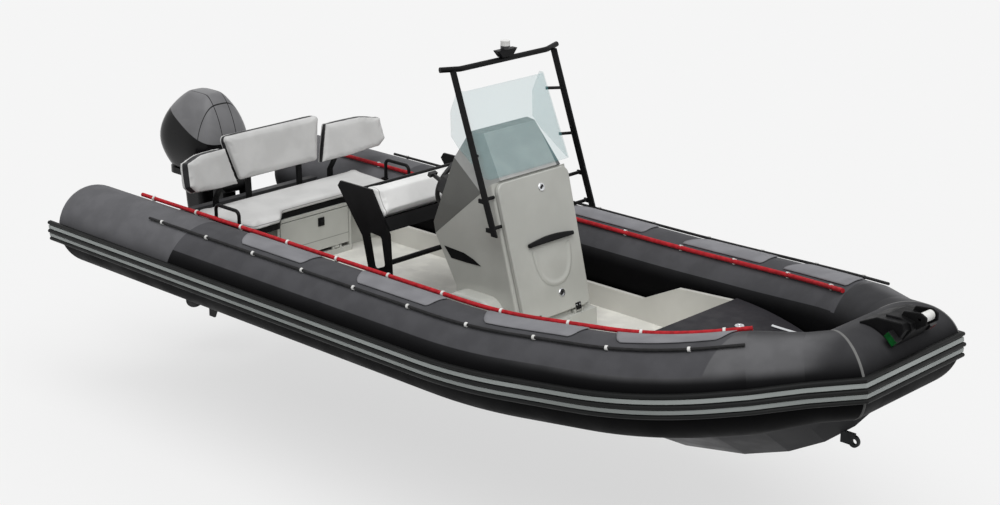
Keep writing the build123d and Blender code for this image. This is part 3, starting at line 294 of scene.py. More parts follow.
def shell(name, points, faces, material, body, slot, crease=35):
    """A new piece from points and faces, smooth but for its sharp edges, which moves with a body."""
    mesh = bpy.data.meshes.new(name)
    mesh.from_pydata([tuple(p) for p in points], [], faces)
    mesh.materials.append(material)
    for face in mesh.polygons:
        face.use_smooth = True
    mesh.set_sharp_from_angle(angle=math.radians(crease))
    thing = placed(name, mesh)
    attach(thing, body)
    return thing


def skin(rows, width, ring=False, flip=False):
    """Faces over rows of points: open rows, or rings that close on themselves."""
    faces = []
    for row in range(rows - 1):
        for i in range(width if ring else width - 1):
            a, b = row * width + i, row * width + (i + 1) % width
            faces.append((a, a + width, b + width, b) if flip else (a, b, b + width, a + width))
    return faces


def thicken(sheet, depth):
    """Gives a sheet its thickness, on the inner side."""
    thick = sheet.modifiers.new("thickness", "SOLIDIFY")
    thick.thickness, thick.offset = depth, -1


def feel(*names):
    """The surface of CAD pieces, for laying things on it."""
    points, faces = [], []
    for name in names:
        mesh = nodes[name].data
        faces += [[i + len(points) for i in face.vertices] for face in mesh.polygons]
        points += [v.co.copy() for v in mesh.vertices]
    return BVHTree.FromPolygons(points, faces)


tube_skin = feel("tube_port", "tube_starboard", "tube_bow")


def on_tube(x, y):
    """The point on top of a tube, and which way the surface faces there."""
    return tube_skin.ray_cast(Vector((x, y, 2)), Vector((0, 0, -1)))[:2]


def crest(x):
    """How far out the tube is highest: halfway between two points a little lower than its top."""
    rows = [(y / 100, on_tube(x, y / 100)[0]) for y in range(30, 124)]
    rows = [(y, hit.z) for y, hit in rows if hit]
    level = max(z for y, z in rows) - CREST_DROP
    edges = [y + (next_y - y) * (level - z) / (next_z - z)
             for (y, z), (next_y, next_z) in zip(rows, rows[1:]) if (z - level) * (next_z - level) < 0]
    return (edges[0] + edges[-1]) / 2


for number, (aft, front) in enumerate(pad_spans, 1):
    stations = np.linspace(aft, front, 9)
    crest_line = np.polyfit(stations, [crest(x) for x in stations], 3)
    for side, side_name in SIDES:
        points = []
        for i in range(PAD_STEPS + 1):
            for j in range(PAD_ACROSS + 1):
                v = 2 * j / PAD_ACROSS - 1
                start = aft + PAD_SLANT * (v + 1) / 2 + PAD_CORNER * v ** 6
                x = start + (front - PAD_CORNER * v ** 6 - start) * i / PAD_STEPS
                hit, normal = on_tube(x, side * (float(np.polyval(crest_line, x)) + v * PAD_HALF))
                points.append(hit + normal * PAD_PROUD)
        faces = [face[::side] for face in skin(PAD_STEPS + 1, PAD_ACROSS + 1)]
        pad = shell(f"tube_pad_{side_name}_{number}", points, faces, pad_grey, "boat", "tube_fabric")
        thicken(pad, PAD_PROUD)

# Rub rail
# A black rubber rail, extruded in one length, is glued round the tubes to take the knocks of a quay.
# Two silver strips are pressed into its grooves.
rail_rubber = Finish("rail rubber", "#0f1010", "#0b0c0c", 0.5, cloud=2, grain=250, relief=0.15)
dress(rail_rubber.done(level=0.2), "rub_rail")
rail_silver = Finish("rail strip", "#a9afad", "#9aa09e", 0.38, cloud=2, grain=300, relief=0.05)
dress(rail_silver.done(), "rail_strips")

# Lifelines
# A red and a black braided rope run along each tube, to hold on to from the water.
# White moulded loops on welded patches keep them in place.
STRANDS = 70


def braid(name, light, dark):
    """Rope with its strands in relief."""
    rope = Finish(name, light, dark, 0.7, cloud=30, grain=700, relief=0.5, depth=0.0012)
    rope.emboss(rope.weave(STRANDS, bands_direction="DIAGONAL"), 1)
    return rope.done(level=0.3)


dress(braid("red braid", "#c0222c", "#a3161f"), "lifelines_red")
dress(braid("black braid", "#1d1d1e", "#111112"), "lifelines_black")
loop_plastic = Finish("white plastic", "#eeeeec", "#dcdcd8", 0.4, cloud=20, grain=300, relief=0.05)
loop_white = loop_plastic.done()
dress(loop_white, "lifeline_loops")

# Console
# A hollow laminate moulding in light grey stands on the floor, closed in front by a hinged hatch.
# A rounded step of the same moulding stands at its starboard foot.
console_coat = Finish("console gelcoat", "#bebfb9", "#b2b3ad", 0.34, cloud=2, grain=110, relief=0.04)
console_grey = console_coat.done(clear=0.2)
dress(console_grey, "console_body", "console_hatch", "console_step")

# Hatch fittings
# Two chrome turn latches, a black moulded grip and two black hinges are screwed to the hatch.
# The hand scoop under the grip is a rim in the hatch's own moulding.
HATCH_FOOT = Vector((0.584, 0, 0.205))
HATCH_UP = Vector((-0.260, 0, 0.9656))
HATCH_OUT = Vector((0.9656, 0, 0.260))
LATCHES, KEY_TURN = ((0.052, 0.815), (0.058, 0.145)), 0.7
GRIP_ACROSS, GRIP_UP = 0.04, 0.487
GRIP_HALF, GRIP_EDGE, GRIP_BOW = 0.20, 0.012, 0.018
GRIP_PROUD, GRIP_STEPS = 0.026, 16
SCOOP_MIDDLE, SCOOP_DRAW = Vector((0, 0.36)), 0.98
SCOOP_PROUD, SCOOP_ROWS = 0.0008, 10
RIM_PROUD, RIM_AT, RIM_SPREAD = 0.008, 0.10, 0.07
HINGES, HINGE_UP = (-0.18, 0.18), 0.028
latch_profile = [(0.027, -0.001), (0.027, 0.003), (0.024, 0.006), (0.017, 0.006), (0.015, 0.002)]
screw_profile = [(0.005, 0.0035), (0.005, 0.005), (0.003, 0.006)]
scoop_outline = [(0.175, 0.455), (0.165, 0.33), (0.120, 0.235), (0.045, 0.195),
                 (-0.045, 0.195), (-0.120, 0.235), (-0.165, 0.33), (-0.175, 0.455)]


def stand(place, out, up=(0, 0, 1)):
    """A working place on a surface: z points out of it, y along up."""
    z = Vector(out).normalized()
    x = Vector(up).cross(z).normalized()
    return Matrix.Translation(place) @ Matrix((x, z.cross(x), z)).transposed().to_4x4()


def capped(rings, sides):
    """Faces over a stack of rings, closed at both ends."""
    count = rings * sides
    return skin(rings, sides, ring=True) + [tuple(range(count - sides, count)), tuple(reversed(range(sides)))]


def turned(name, profile, place, material, body, slot, sides=32):
    """A round piece turned from a profile of (radius, height) pairs."""
    points = []
    for radius, height in profile:
        for i in range(sides):
            turn = 2 * math.pi * i / sides
            points.append(place @ Vector((radius * math.cos(turn), radius * math.sin(turn), height)))
    return shell(name, points, capped(len(profile), sides), material, body, slot)


def prisms(cuts, place):
    """Points and faces of flat pieces, each cut to an outline between a low and a high face."""
    points, faces = [], []
    for outline, low, high in cuts:
        first, count = len(points), len(outline)
        top = first + count
        points += [place @ Vector((x, y, z)) for z in (low, high) for x, y in outline]
        faces += [tuple(reversed(range(first, top))), tuple(range(top, top + count))]
        faces += [(first + i, first + (i + 1) % count, top + (i + 1) % count, top + i) for i in range(count)]
    return points, faces


def plates(name, cuts, place, material, body, slot, soft=0.003):
    """Flat pieces in one moulding, with rounded edges."""
    thing = shell(name, *prisms(cuts, place), material, body, slot)
    bm = bmesh.new()
    bm.from_mesh(thing.data)
    bmesh.ops.recalc_face_normals(bm, faces=bm.faces)
    bm.to_mesh(thing.data)
    bm.free()
    if soft:
        edge = thing.modifiers.new("rounded edges", "BEVEL")
        edge.width, edge.segments, edge.limit_method = soft, 3, "ANGLE"
    return thing


def plate(name, outline, low, high, place, material, body, slot, soft=0.003):
    """A flat piece cut to an outline, with rounded edges."""
    return plates(name, [(outline, low, high)], place, material, body, slot, soft)


def oblong(width, height, up=0):
    """The outline of an upright oblong, with its middle raised."""
    return [(x * width / 2, y * height / 2 + up) for x, y in ((-1, -1), (1, -1), (1, 1), (-1, 1))]


def finer(thing, levels):
    """Rounds a coarse form into a smooth one."""
    smooth = thing.modifiers.new("finer", "SUBSURF")
    smooth.levels = smooth.render_levels = levels


def on_hatch(across, up):
    """A point on the face of the hatch."""
    return HATCH_FOOT + HATCH_UP * up + Vector((0, across, 0))


chrome_metal = Finish("chrome", "#d9dbdd", "#c6c8cb", 0.12, cloud=10, grain=300, relief=0.03)
chrome = chrome_metal.done(metal=1)
moulded = Finish("black moulded plastic", "#141415", "#0e0e0f", 0.42, cloud=12, grain=900, relief=0.35)
black_plastic = moulded.done(level=0.12)

for number, (across, up) in enumerate(LATCHES, 1):
    place = stand(on_hatch(across, up), HATCH_OUT, HATCH_UP)
    turned(f"hatch_latch_{number}", latch_profile, place, chrome, "hatch", "steel")
    plate(f"hatch_latch_key_{number}", oblong(0.028, 0.010), 0.001, 0.009,
          place @ Matrix.Rotation(KEY_TURN, 4, "Z"), black_plastic, "hatch", "panel_black", soft=0.002)

grip_run = [GRIP_HALF * (2 * i / GRIP_STEPS - 1) for i in range(GRIP_STEPS + 1)]
grip_outline = [(x, GRIP_EDGE + GRIP_BOW * math.cos(math.pi / 2 * x / GRIP_HALF)) for x in grip_run]
grip_outline += [(x, -GRIP_EDGE) for x in reversed(grip_run)]
grip_place = stand(on_hatch(GRIP_ACROSS, GRIP_UP), HATCH_OUT, HATCH_UP)
plate("hatch_grip", grip_outline, 0, GRIP_PROUD, grip_place,
      black_plastic, "hatch", "panel_black", soft=0.007)

points = []
for row in range(SCOOP_ROWS + 1):
    share = row / SCOOP_ROWS
    proud = SCOOP_PROUD + RIM_PROUD * math.exp(-((share - RIM_AT) / RIM_SPREAD) ** 2)
    for corner in scoop_outline:
        across, up = Vector(corner).lerp(SCOOP_MIDDLE, share * SCOOP_DRAW)
        points.append(on_hatch(across + GRIP_ACROSS, up) + HATCH_OUT * proud)
scoop_faces = skin(SCOOP_ROWS + 1, len(scoop_outline), flip=True)
finer(shell("hatch_scoop", points, scoop_faces, console_grey, "hatch", "console_grey", crease=80), 2)

for number, across in enumerate(HINGES, 1):
    place = stand(on_hatch(across, HINGE_UP), HATCH_OUT, HATCH_UP)
    plate(f"hatch_hinge_leaf_{number}", oblong(0.048, 0.044, up=0.004), 0, 0.004, place,
          black_plastic, "hatch", "panel_black", soft=0.0015)
    for letter, x in (("a", -0.014), ("b", 0.014)):
        screw_place = place @ Matrix.Translation((x, 0.012, 0))
        turned(f"hatch_hinge_screw_{number}_{letter}", screw_profile, screw_place,
               chrome, "hatch", "steel", sides=16)

# Console hand slits
# A dark slit for the hand is let into each side of the console, below the hood.
# Each is a thin plate of black plastic, pressed into its cut-out from outside.
SLIT_OUT, SLIT_PROUD = 0.3302, 0.003
slit_outline = [(-0.092, 0.600), (0.08, 0.590), (0.16, 0.568), (0.228, 0.536), (0.10, 0.532), (-0.03, 0.532)]
for side, side_name in reversed(SIDES):
    plate(f"console_slit_{side_name}", [(-side * x, z) for x, z in slit_outline], 0, SLIT_PROUD,
          stand((0, side * SLIT_OUT, 0), (0, side, 0)), black_plastic, "boat", "panel_black", soft=0.0015)

# Dash hood
# The upper half of the console is a dark grey moulding, bonded on over the lower one.
# Its front is a paler grey, and the chamfer down its port edge is painted dark as painted shade.
HOOD_BAND = 0.235
hood_coat = Finish("hood gelcoat", "#676864", "#5c5d59", 0.4, cloud=3, grain=140, relief=0.05)
hood_front = hood_coat.step(hood_coat.toward("X"), 0.2, 0.3)
hood_coat.paint(hood_front, "#bbbcba", 0.35)
# Painted shade: the port chamfer of the front, facing away from the light, is painted dark.
hood_port_shade = hood_coat.both(hood_front, hood_coat.step(hood_coat.axis("Y"), HOOD_BAND, HOOD_BAND + 0.005))
hood_coat.paint(hood_port_shade, "#5b5f60", 0.4)
dress(hood_coat.done(clear=0.15), "dash_hood")

# Instruments
# The aft face of the hood holds two dials in chrome rims, a display in a black case and five rocker switches.
# Each is a ready-made piece, let into the moulding and fixed from behind.
DISPLAY_AT, DISPLAY_CASE, DISPLAY_FACE = (0.16, 1.03), 0.012, 0.0132
DIAL_UP, SWITCH_UP = 1.10, 0.90
SWITCHES, SWITCH_FIRST, SWITCH_PITCH = 5, 0.07, 0.034
dials = [
    # across, turn of the needle
    (-0.15, 0.9),
    (0.0, -0.1),
]
dial_rim = [(0.046, 0), (0.046, 0.007), (0.043, 0.010), (0.039, 0.010), (0.037, 0.005)]
dial_disc = [(0.037, 0.002), (0.037, 0.0055), (0.001, 0.0057)]
needle = [(-0.0012, -0.006), (0.0012, -0.006), (0.0006, 0.028), (-0.0006, 0.028)]
dash_skin = feel("dash_hood")
dial_face = Finish("dial face", "#20242a", "#15181c", 0.25, cloud=30, grain=200, relief=0.03)
display_glass = Finish("display glass", "#0d1014", "#090b0e", 0.08, cloud=5, grain=60, relief=0.02)
dial_black, glass_black = dial_face.done(clear=0.6), display_glass.done(clear=1)


def on_dash(across, height):
    """A working place on the aft face of the hood."""
    hit, normal = dash_skin.ray_cast(Vector((-1, across, height)), Vector((1, 0, 0)))[:2]
    return stand(hit, normal)


display_place = on_dash(*DISPLAY_AT)
plate("dash_display", oblong(0.24, 0.16), 0, DISPLAY_CASE, display_place,
      black_plastic, "boat", "panel_black", soft=0.006)
plate("dash_display_glass", oblong(0.21, 0.13), DISPLAY_CASE, DISPLAY_FACE, display_place,
      glass_black, "boat", "panel_black", soft=0.0005)
for number, (across, turn) in enumerate(dials, 1):
    place = on_dash(across, DIAL_UP)
    turned(f"dash_dial_rim_{number}", dial_rim, place, chrome, "boat", "steel")
    turned(f"dash_dial_{number}", dial_disc, place, dial_black, "boat", "panel_black")
    plate(f"dash_dial_needle_{number}", needle, 0.0058, 0.0066, place @ Matrix.Rotation(turn, 4, "Z"),
          loop_white, "boat", "loop_white", soft=0)
for number in range(SWITCHES):
    proud = 0.008 + 0.002 * (number % 2)
    plate(f"dash_switch_{number + 1}", oblong(0.022, 0.038), 0, proud,
          on_dash(SWITCH_FIRST + SWITCH_PITCH * number, SWITCH_UP), black_plastic, "boat", "panel_black")

# Windscreen
# A thin clear acrylic sheet, faintly blue, is bent warm round the hood in one piece.
# It has a flat front that leans aft and two short wings, and the stubs of the guard hold it.
SCREEN_FOOT, SCREEN_HEAD = Vector((0.334, 0, 1.112)), Vector((0.114, 0, 1.620))
SCREEN_HALF, SCREEN_BEND, SCREEN_THICK = 0.365, 0.030, 0.006
SCREEN_ROWS, BEND_STEPS, WING_STEPS, WING_LEAST = 24, 6, 4, 0.001
wing_ends = [
    # height, where the wing ends
    (1.112, 0.300),
    (1.256, 0.079),
    (1.323, 0.009),
    (1.483, 0.004),
    (1.620, 0.064),
]
acrylic = Finish("clear acrylic", "#86bcc0", "#7cb4b8", 0.12, cloud=2, grain=30, relief=0.01, edge=0.001)
screen_clear = acrylic.done(alpha=0.15, level=0.2)
points = []
for i in range(SCREEN_ROWS + 1):
    front = SCREEN_FOOT.lerp(SCREEN_HEAD, i / SCREEN_ROWS)
    bend = front.x - SCREEN_BEND
    tail = min(bend - WING_LEAST, float(np.interp(front.z, *zip(*wing_ends))))
    half = [(tail + (bend - tail) * j / WING_STEPS, SCREEN_HALF) for j in range(WING_STEPS)]
    for j in range(BEND_STEPS + 1):
        turn = math.pi / 2 * (1 - j / BEND_STEPS)
        half.append((bend + SCREEN_BEND * math.cos(turn), SCREEN_HALF - SCREEN_BEND * (1 - math.sin(turn))))
    points += [(x, y, front.z) for x, y in half + [(x, -y) for x, y in reversed(half)]]
sheet_faces = skin(SCREEN_ROWS + 1, 2 * len(half), flip=True)
sheet = shell("screen_sheet", points, sheet_faces, screen_clear, "boat", "screen_clear", crease=60)
thicken(sheet, SCREEN_THICK)
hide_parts("screen")

# Guard frame and mast light
# Black powder-coated flat bars and a round bar stand round the screen, and stubs on each side hold it.
# The bar carries the white all-round light on a black wedge bracket.
POST_Y, STUB_R = 0.442, 0.010
LENS_HEIGHT, BRACKET_HALF = 0.030, 0.024
stubs = [
    # height, how far forward at the post and at the screen
    (1.244, 0.275, 0.233),
    (1.518, 0.178, 0.115),
]
bracket_outline = [(-0.045, 0), (0.045, 0), (0.085, 0.046), (-0.085, 0.046)]
powder = Finish("black powder coat", "#131314", "#0d0d0e", 0.45, cloud=6, grain=900, relief=0.25,
                depth=0.0003)
frame_black = powder.done(level=0.12)
dress(frame_black, "screen_posts", "screen_bar")
lamp_low, lamp_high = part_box("mast_light")
lens_foot = lamp_high.z - LENS_HEIGHT
lamp_glass = Finish("mast lamp", "#f2f2f0", "#e6e6e3", 0.22, cloud=20, grain=200, relief=0.05)
lamp_glass.paint(lamp_glass.step(lamp_glass.axis("Z"), lens_foot, lens_foot - 0.001), "#141415", 0.45)
dress(lamp_glass.done(clear=0.3), "mast_light")
bracket_place = stand(((lamp_low.x + lamp_high.x) / 2, 0, lamp_low.z), (1, 0, 0))
plate("mast_light_bracket", bracket_outline, -BRACKET_HALF, BRACKET_HALF, bracket_place,
      frame_black, "boat", "frame_black")


def rod(name, path, radius, material, body):
    """A round bar along a smooth path."""
    run = bpy.data.curves.new(name, "CURVE")
    run.dimensions, run.bevel_depth, run.bevel_resolution, run.use_fill_caps = "3D", radius, 4, True
    line = run.splines.new("BEZIER")
    line.bezier_points.add(len(path) - 1)
    for knot, place in zip(line.bezier_points, path):
        knot.co, knot.handle_left_type, knot.handle_right_type = place, "AUTO", "AUTO"
    run.materials.append(material)
    thing = placed(name, run)
    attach(thing, body)
    return thing


for number, (height, at_post, at_screen) in enumerate(stubs, 1):
    for side, side_name in SIDES:
        ends = [(at_post, side * POST_Y, height), (at_screen, side * SCREEN_HALF, height)]
        rod(f"screen_stub_{side_name}_{number}", ends, STUB_R, frame_black, "boat")

# Steering wheel and throttle
# A wheel with a padded black rim turns on the column in the dash.
# The throttle lever, in the same black, is bolted beside it.
wheel_rubber = Finish("wheel rubber", "#1f1f20", "#161617", 0.55, cloud=12, grain=600, relief=0.3)
dress(wheel_rubber.done(), "steering_wheel", "throttle")

# Cushions
# Closed-cell foam in pale grey coated cloth, sewn along its edges, with a black gusset round the backrests.
# The cloth is stretched over the foam by the pressure inside and held flat where a board carries it.
BACK_FOOT, BACK_OUT = (-2.060, 0, 0.624), Vector((0.979, 0, 0.2045))
WING_FOOT, WING_OUT, WING_UP = (-2.058, 0.380, 0.624), (0.9361, -0.2862, 0.2045), (-0.1956, 0.0598, 0.9789)
BACK_THICK, GUSSET_EDGE = 0.078, 0.002
SEAT_SWELL, BACK_SWELL = 0.010, 0.008
SEAT_SEAM, ROLL_SEAM = 0.468, 0.425
WEFT = 420
SEWN_IN, REST_FACING = 0.3, 0.85
PRESSURE, BLOW_FRAMES = 4, 20
wing_outline = [(-0.008, -0.020), (0.215, 0.0), (0.470, 0.040), (0.522, 0.095),
                (0.495, 0.258), (0.330, 0.283), (0.054, 0.262)]


def cushion(name, light="#d2d2d1", dark="#c8c8c7"):
    """Coated cloth with a fine weft."""
    cloth = Finish(name, light, dark, 0.58, cloud=5, grain=1500, relief=0.25, depth=0.0004)
    cloth.emboss(cloth.weave(WEFT, 2), 0.5)
    return cloth


def stitch(cloth, distance, colour):
    """A seam where a distance is nearly nothing: a dark line in a shallow groove."""
    seam = cloth.line(distance, 0.0035, 0.0015)
    cloth.paint(seam, colour)
    cloth.emboss(seam, -3)


def backrest(name, foot, out, front, back):
    """Cushion cloth with a black gusset between two depths behind its face."""
    cloth = cushion(name)
    depth = cloth.beyond(foot, out)
    gusset = cloth.both(cloth.step(depth, front, front - GUSSET_EDGE),
                        cloth.step(depth, back - GUSSET_EDGE, back))
    cloth.paint(gusset, "#1b1b1d", 0.5)
    return cloth.done(level=0.25)


def settled(thing):
    """The mesh of a thing with its modifiers worked in."""
    return bpy.data.meshes.new_from_object(thing.evaluated_get(bpy.context.evaluated_depsgraph_get()))


def sewn(node, material, swell, base, form=None, voxel=0.006):
    """Cloth over a foam pad: the CAD form drawn in a little, then blown out, but held where it rests."""
    cover = placed(node + "_cover", form or nodes[node].data.copy())
    even = cover.modifiers.new("even cloth", "REMESH")
    even.mode, even.voxel_size = "VOXEL", voxel
    shape = settled(cover)
    cover.modifiers.clear()
    cover.data = shape
    shape.materials.clear()
    shape.materials.append(material)
    resting = {v.index for v in shape.vertices if v.normal.dot(base) > REST_FACING}
    start = [v.co - v.normal * (0 if v.index in resting else swell * SEWN_IN) for v in shape.vertices]
    for v in shape.vertices:
        v.co = start[v.index]
    held = cover.vertex_groups.new(name="held")
    held.add(sorted(resting), 1, "REPLACE")
    cloth = cover.modifiers.new("cloth", "CLOTH")
    cloth.settings.vertex_group_mass = "held"
    cloth.settings.use_pressure = True
    cloth.settings.uniform_pressure_force = PRESSURE
    cloth.settings.effector_weights.gravity = 0
    cloth.settings.quality = 4
    cloth.point_cache.frame_start, cloth.point_cache.frame_end = 1, BLOW_FRAMES
    for number in range(1, BLOW_FRAMES + 1):
        bpy.context.scene.frame_set(number)
    blown = settled(cover)
    cover.modifiers.clear()
    for v in shape.vertices:
        step = blown.vertices[v.index].co - start[v.index]
        v.co = start[v.index] + step * min(1, swell / max(step.length, 1e-9))
    bpy.context.scene.frame_set(1)
    for face in shape.polygons:
        face.use_smooth = True
    relax = cover.modifiers.new("relax", "SMOOTH")
    relax.iterations, relax.factor = 12, 0.5
    finer(cover, 1)
    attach(cover, "boat")
    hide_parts(node)
    return cover


seat_cloth = cushion("seat cloth")
stitch(seat_cloth, seat_cloth.calc("SUBTRACT", seat_cloth.axis("Z"), SEAT_SEAM), "#8d8d8c")
seat_grey = seat_cloth.done(level=0.25)
roll_cloth = cushion("bolster cloth", "#f4f4f3", "#eaeae9")
stitch(roll_cloth, roll_cloth.calc("SUBTRACT", roll_cloth.off_middle(), ROLL_SEAM), "#b4b4b3")
roll_grey = roll_cloth.done(level=0.25)
back_grey = backrest("backrest cloth", BACK_FOOT, BACK_OUT, -0.034, -0.060)
wing_grey = backrest("side backrest cloth", WING_FOOT, WING_OUT, -0.012, -0.054)

wing_points, wing_faces = prisms([(wing_outline, -BACK_THICK, 0)], stand(WING_FOOT, WING_OUT, WING_UP))
wing_count = len(wing_points)
wing_points += [Vector((p.x, -p.y, p.z)) for p in wing_points]
wing_faces += [tuple(wing_count + i for i in reversed(face)) for face in wing_faces]
wings = bpy.data.meshes.new("side backrests")
wings.from_pydata([tuple(p) for p in wing_points], [], wing_faces)

sewn("bench_cushion", seat_grey, SEAT_SWELL, Vector((0, 0, -1)), voxel=0.009)
sewn("back_middle", back_grey, BACK_SWELL, -BACK_OUT)
sewn("back_wings", wing_grey, BACK_SWELL, -BACK_OUT, wings, voxel=0.0075)
sewn("post_bolster", roll_grey, SEAT_SWELL, Vector((-0.5, 0, -0.85)).normalized())

# Bench and leaning post
# The bench is a moulding in the console's grey, and black laminate boards carry the cushions on it.
# Powder-coated plates, bars and brackets are bolted on for the leaning post and the backrests.
# The locker door of the bench has a square black slam latch.
DOOR_LINE = 0.183
LATCH_AT, LATCH_CASE, LATCH_FACE = (-1.714, 0.057, 0.315), 0.006, 0.011
board = Finish("black laminate", "#141415", "#0e0e0f", 0.5, cloud=5, grain=500, relief=0.15)
panel_black = board.done(level=0.1)
dress(panel_black, "post_panel", "bench_board")
dress(frame_black, "post_bars", "back_brackets", "aft_handrails", "post_plates")
dress(console_grey, "bench_base")
door_coat = Finish("door gelcoat", "#bebfb9", "#b2b3ad", 0.34, cloud=2, grain=110, relief=0.04)
door_line = door_coat.line(door_coat.calc("SUBTRACT", door_coat.axis("Z"), DOOR_LINE), 0.004, 0.002)
door_coat.paint(door_line, "#8f908b")
door_coat.emboss(door_line, -2)
dress(door_coat.done(clear=0.2), "bench_door")
latch_place = stand(LATCH_AT, (1, 0, 0))
plate("locker_latch", oblong(0.058, 0.062), 0, LATCH_CASE, latch_place,
      black_plastic, "locker_door", "panel_black")
plate("locker_latch_paddle", oblong(0.036, 0.034, up=-0.004), LATCH_CASE, LATCH_FACE, latch_place,
      black_plastic, "locker_door", "panel_black")

# Engine
# A gloss black cowl with grey top panels sits on the leg, which swivels and tilts on the transom clamp.
# The cowl is one moulding, broad at its middle and drawn in and forward to its head.
COWL_AXIS, COWL_FOOT = -2.915, 0.500
COWL_SQUARE, COWL_SIDES = 3.7, 40
PANEL_FALL, PANEL_RISE = 0.42, -0.372
PANEL_SEAM_OUT, PANEL_SEAM_AFT = 0.062, -2.715
cowl_levels = [
    # height, how far forward, length, width
    (0.000, 0.020, 0.496, 0.376),
    (0.008, 0.020, 0.520, 0.400),
    (0.130, -0.008, 0.616, 0.480),
    (0.240, -0.014, 0.636, 0.492),
    (0.370, -0.008, 0.556, 0.424),
    (0.480, 0.010, 0.410, 0.302),
    (0.552, 0.026, 0.262, 0.184),
    (0.566, 0.030, 0.200, 0.130),
]
cowl_paint = Finish("cowl paint", "#0d0d0e", "#09090a", 0.2, cloud=2, grain=60, relief=0.02, edge=0.004)
rise = cowl_paint.calc("MULTIPLY_ADD", cowl_paint.axis("X"), PANEL_FALL, cowl_paint.axis("Z"))
top_panel = cowl_paint.step(rise, PANEL_RISE - 0.002, PANEL_RISE + 0.002)
cowl_paint.paint(top_panel, "#7c7c7e", 0.32)
for run, seam in ((cowl_paint.off_middle(), PANEL_SEAM_OUT), (cowl_paint.axis("X"), PANEL_SEAM_AFT)):
    groove = cowl_paint.line(cowl_paint.calc("SUBTRACT", run, seam), 0.004, 0.002)
    cowl_paint.paint(cowl_paint.both(groove, top_panel), "#19191a", 0.5)
cowl_black = cowl_paint.done(level=0.14)
points = []
for height, ahead, length, width in cowl_levels:
    for i in range(COWL_SIDES):
        turn = 2 * math.pi * i / COWL_SIDES
        c, s = math.cos(turn), math.sin(turn)
        x = math.copysign(abs(c) ** (2 / COWL_SQUARE), c) * length / 2
        y = math.copysign(abs(s) ** (2 / COWL_SQUARE), s) * width / 2
        points.append((COWL_AXIS + ahead + x, y, COWL_FOOT + height))
cowl_faces = capped(len(cowl_levels), COWL_SIDES)
cowl = shell("engine_cowl_moulding", points, cowl_faces, cowl_black, "engine", "engine_black", crease=180)
finer(cowl, 2)
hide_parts("engine_cowl")
cast = Finish("black engine paint", "#121213", "#0d0d0e", 0.32, cloud=4, grain=250, relief=0.12)
dress(cast.done(level=0.14), "engine_clamp", "engine_swivel", "engine_leg", "propeller")
inner = Finish("engine casting", "#3a3a3b", "#2c2c2d", 0.55, cloud=6, grain=200, relief=0.3)
dress(inner.done(metal=0.3), "engine_block")

# Bow locker lid
# A hinged lid of dark laminate covers the bow locker.
# A chrome turn latch and two chrome cleats are bolted through it.
LID_FLAT_END = 2.2
LID_LATCH = (1.83, 0.17)
CLEAT_X, CLEAT_Y, HORN_R, HORN_UP, HORN_LIFT = 2.13, 0.225, 0.010, 0.033, 0.10
lid_latch = [(0.030, 0), (0.030, 0.003), (0.026, 0.006), (0.012, 0.006), (0.010, 0.003)]
cleat_foot = [(0.020, 0), (0.018, 0.004), (0.010, 0.012), (0.009, 0.030)]
lid_coat = Finish("lid laminate", "#29282c", "#222125", 0.55, cloud=3, grain=500, relief=0.3)
dress(lid_coat.done(level=0.12), "bow_lid")
lid_top = max(v.co.z for v in nodes["bow_lid"].data.vertices if v.co.x < LID_FLAT_END)


def on_lid(place):
    """A working place on the flat of the lid."""
    return stand(place, (0, 0, 1), (1, 0, 0))


turned("lid_latch", lid_latch, on_lid((*LID_LATCH, lid_top)), chrome, "locker_lid", "steel")
for number, side in enumerate((1, -1), 1):
    base = Vector((CLEAT_X, side * CLEAT_Y, lid_top))
    for letter, x in (("a", -0.035), ("b", 0.035)):
        turned(f"bow_cleat_foot_{number}_{letter}", cleat_foot, on_lid(base + Vector((x, 0, 0))),
               chrome, "locker_lid", "steel", sides=20)
    horn = [base + Vector((x, 0, HORN_UP + HORN_LIFT * x * x)) for x in (-0.11, -0.055, 0, 0.055, 0.11)]
    rod(f"bow_cleat_horn_{number}", horn, HORN_R, chrome, "locker_lid")

# Bow fitting, lights and eyes
# The black bow moulding is a low wedge seated on the bow tube, and two cheeks on it hold the anchor roller.
# A light in a black housing is screwed to each of its flanks.
# The towing eyes are dull steel, bolted through the hull.
BOW_AT, BOW_R = (2.865, 0, 0.550), 0.2405
WEDGE_HALF, NOSE_HALF, CHEEK_IN, CHEEK_OUT = 0.150, 0.100, 0.049, 0.063
LENS_IN = 0.165
seat_turns = [math.radians(turn) for turn in range(96, 38, -4)]
wedge = [(BOW_R * math.cos(turn), BOW_R * math.sin(turn)) for turn in seat_turns]
wedge += [(0.252, 0.262), (0.240, 0.302), (0.080, 0.298), (-0.024, 0.250)]
nose = [(0.170, 0.176), (0.196, 0.170), (0.268, 0.258), (0.258, 0.296), (0.190, 0.312), (0.100, 0.308)]
cheek = [(0.150, 0.262), (0.185, 0.338), (0.290, 0.350), (0.326, 0.332), (0.326, 0.290), (0.250, 0.240)]
bow_cuts = [(wedge, -WEDGE_HALF, WEDGE_HALF), (nose, -NOSE_HALF, NOSE_HALF),
            (cheek, -CHEEK_OUT, -CHEEK_IN), (cheek, CHEEK_IN, CHEEK_OUT)]
mould = plates("bow_moulding_wedge", bow_cuts, stand(BOW_AT, (0, -1, 0)),
               panel_black, "boat", "panel_black", soft=0.006)
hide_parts("bow_moulding")
dress(loop_white, "bow_roller")
lamp_tint = Finish("side lamp", "#0d5a24", "#08421a", 0.2, cloud=20, grain=100, relief=0.03)
lamp_tint.paint(lamp_tint.calc("GREATER_THAN", lamp_tint.axis("Y"), 0), "#7c1212")
lamp_tint.paint(lamp_tint.step(lamp_tint.toward("Z"), 0.55, 0.6), "#111112", 0.45)
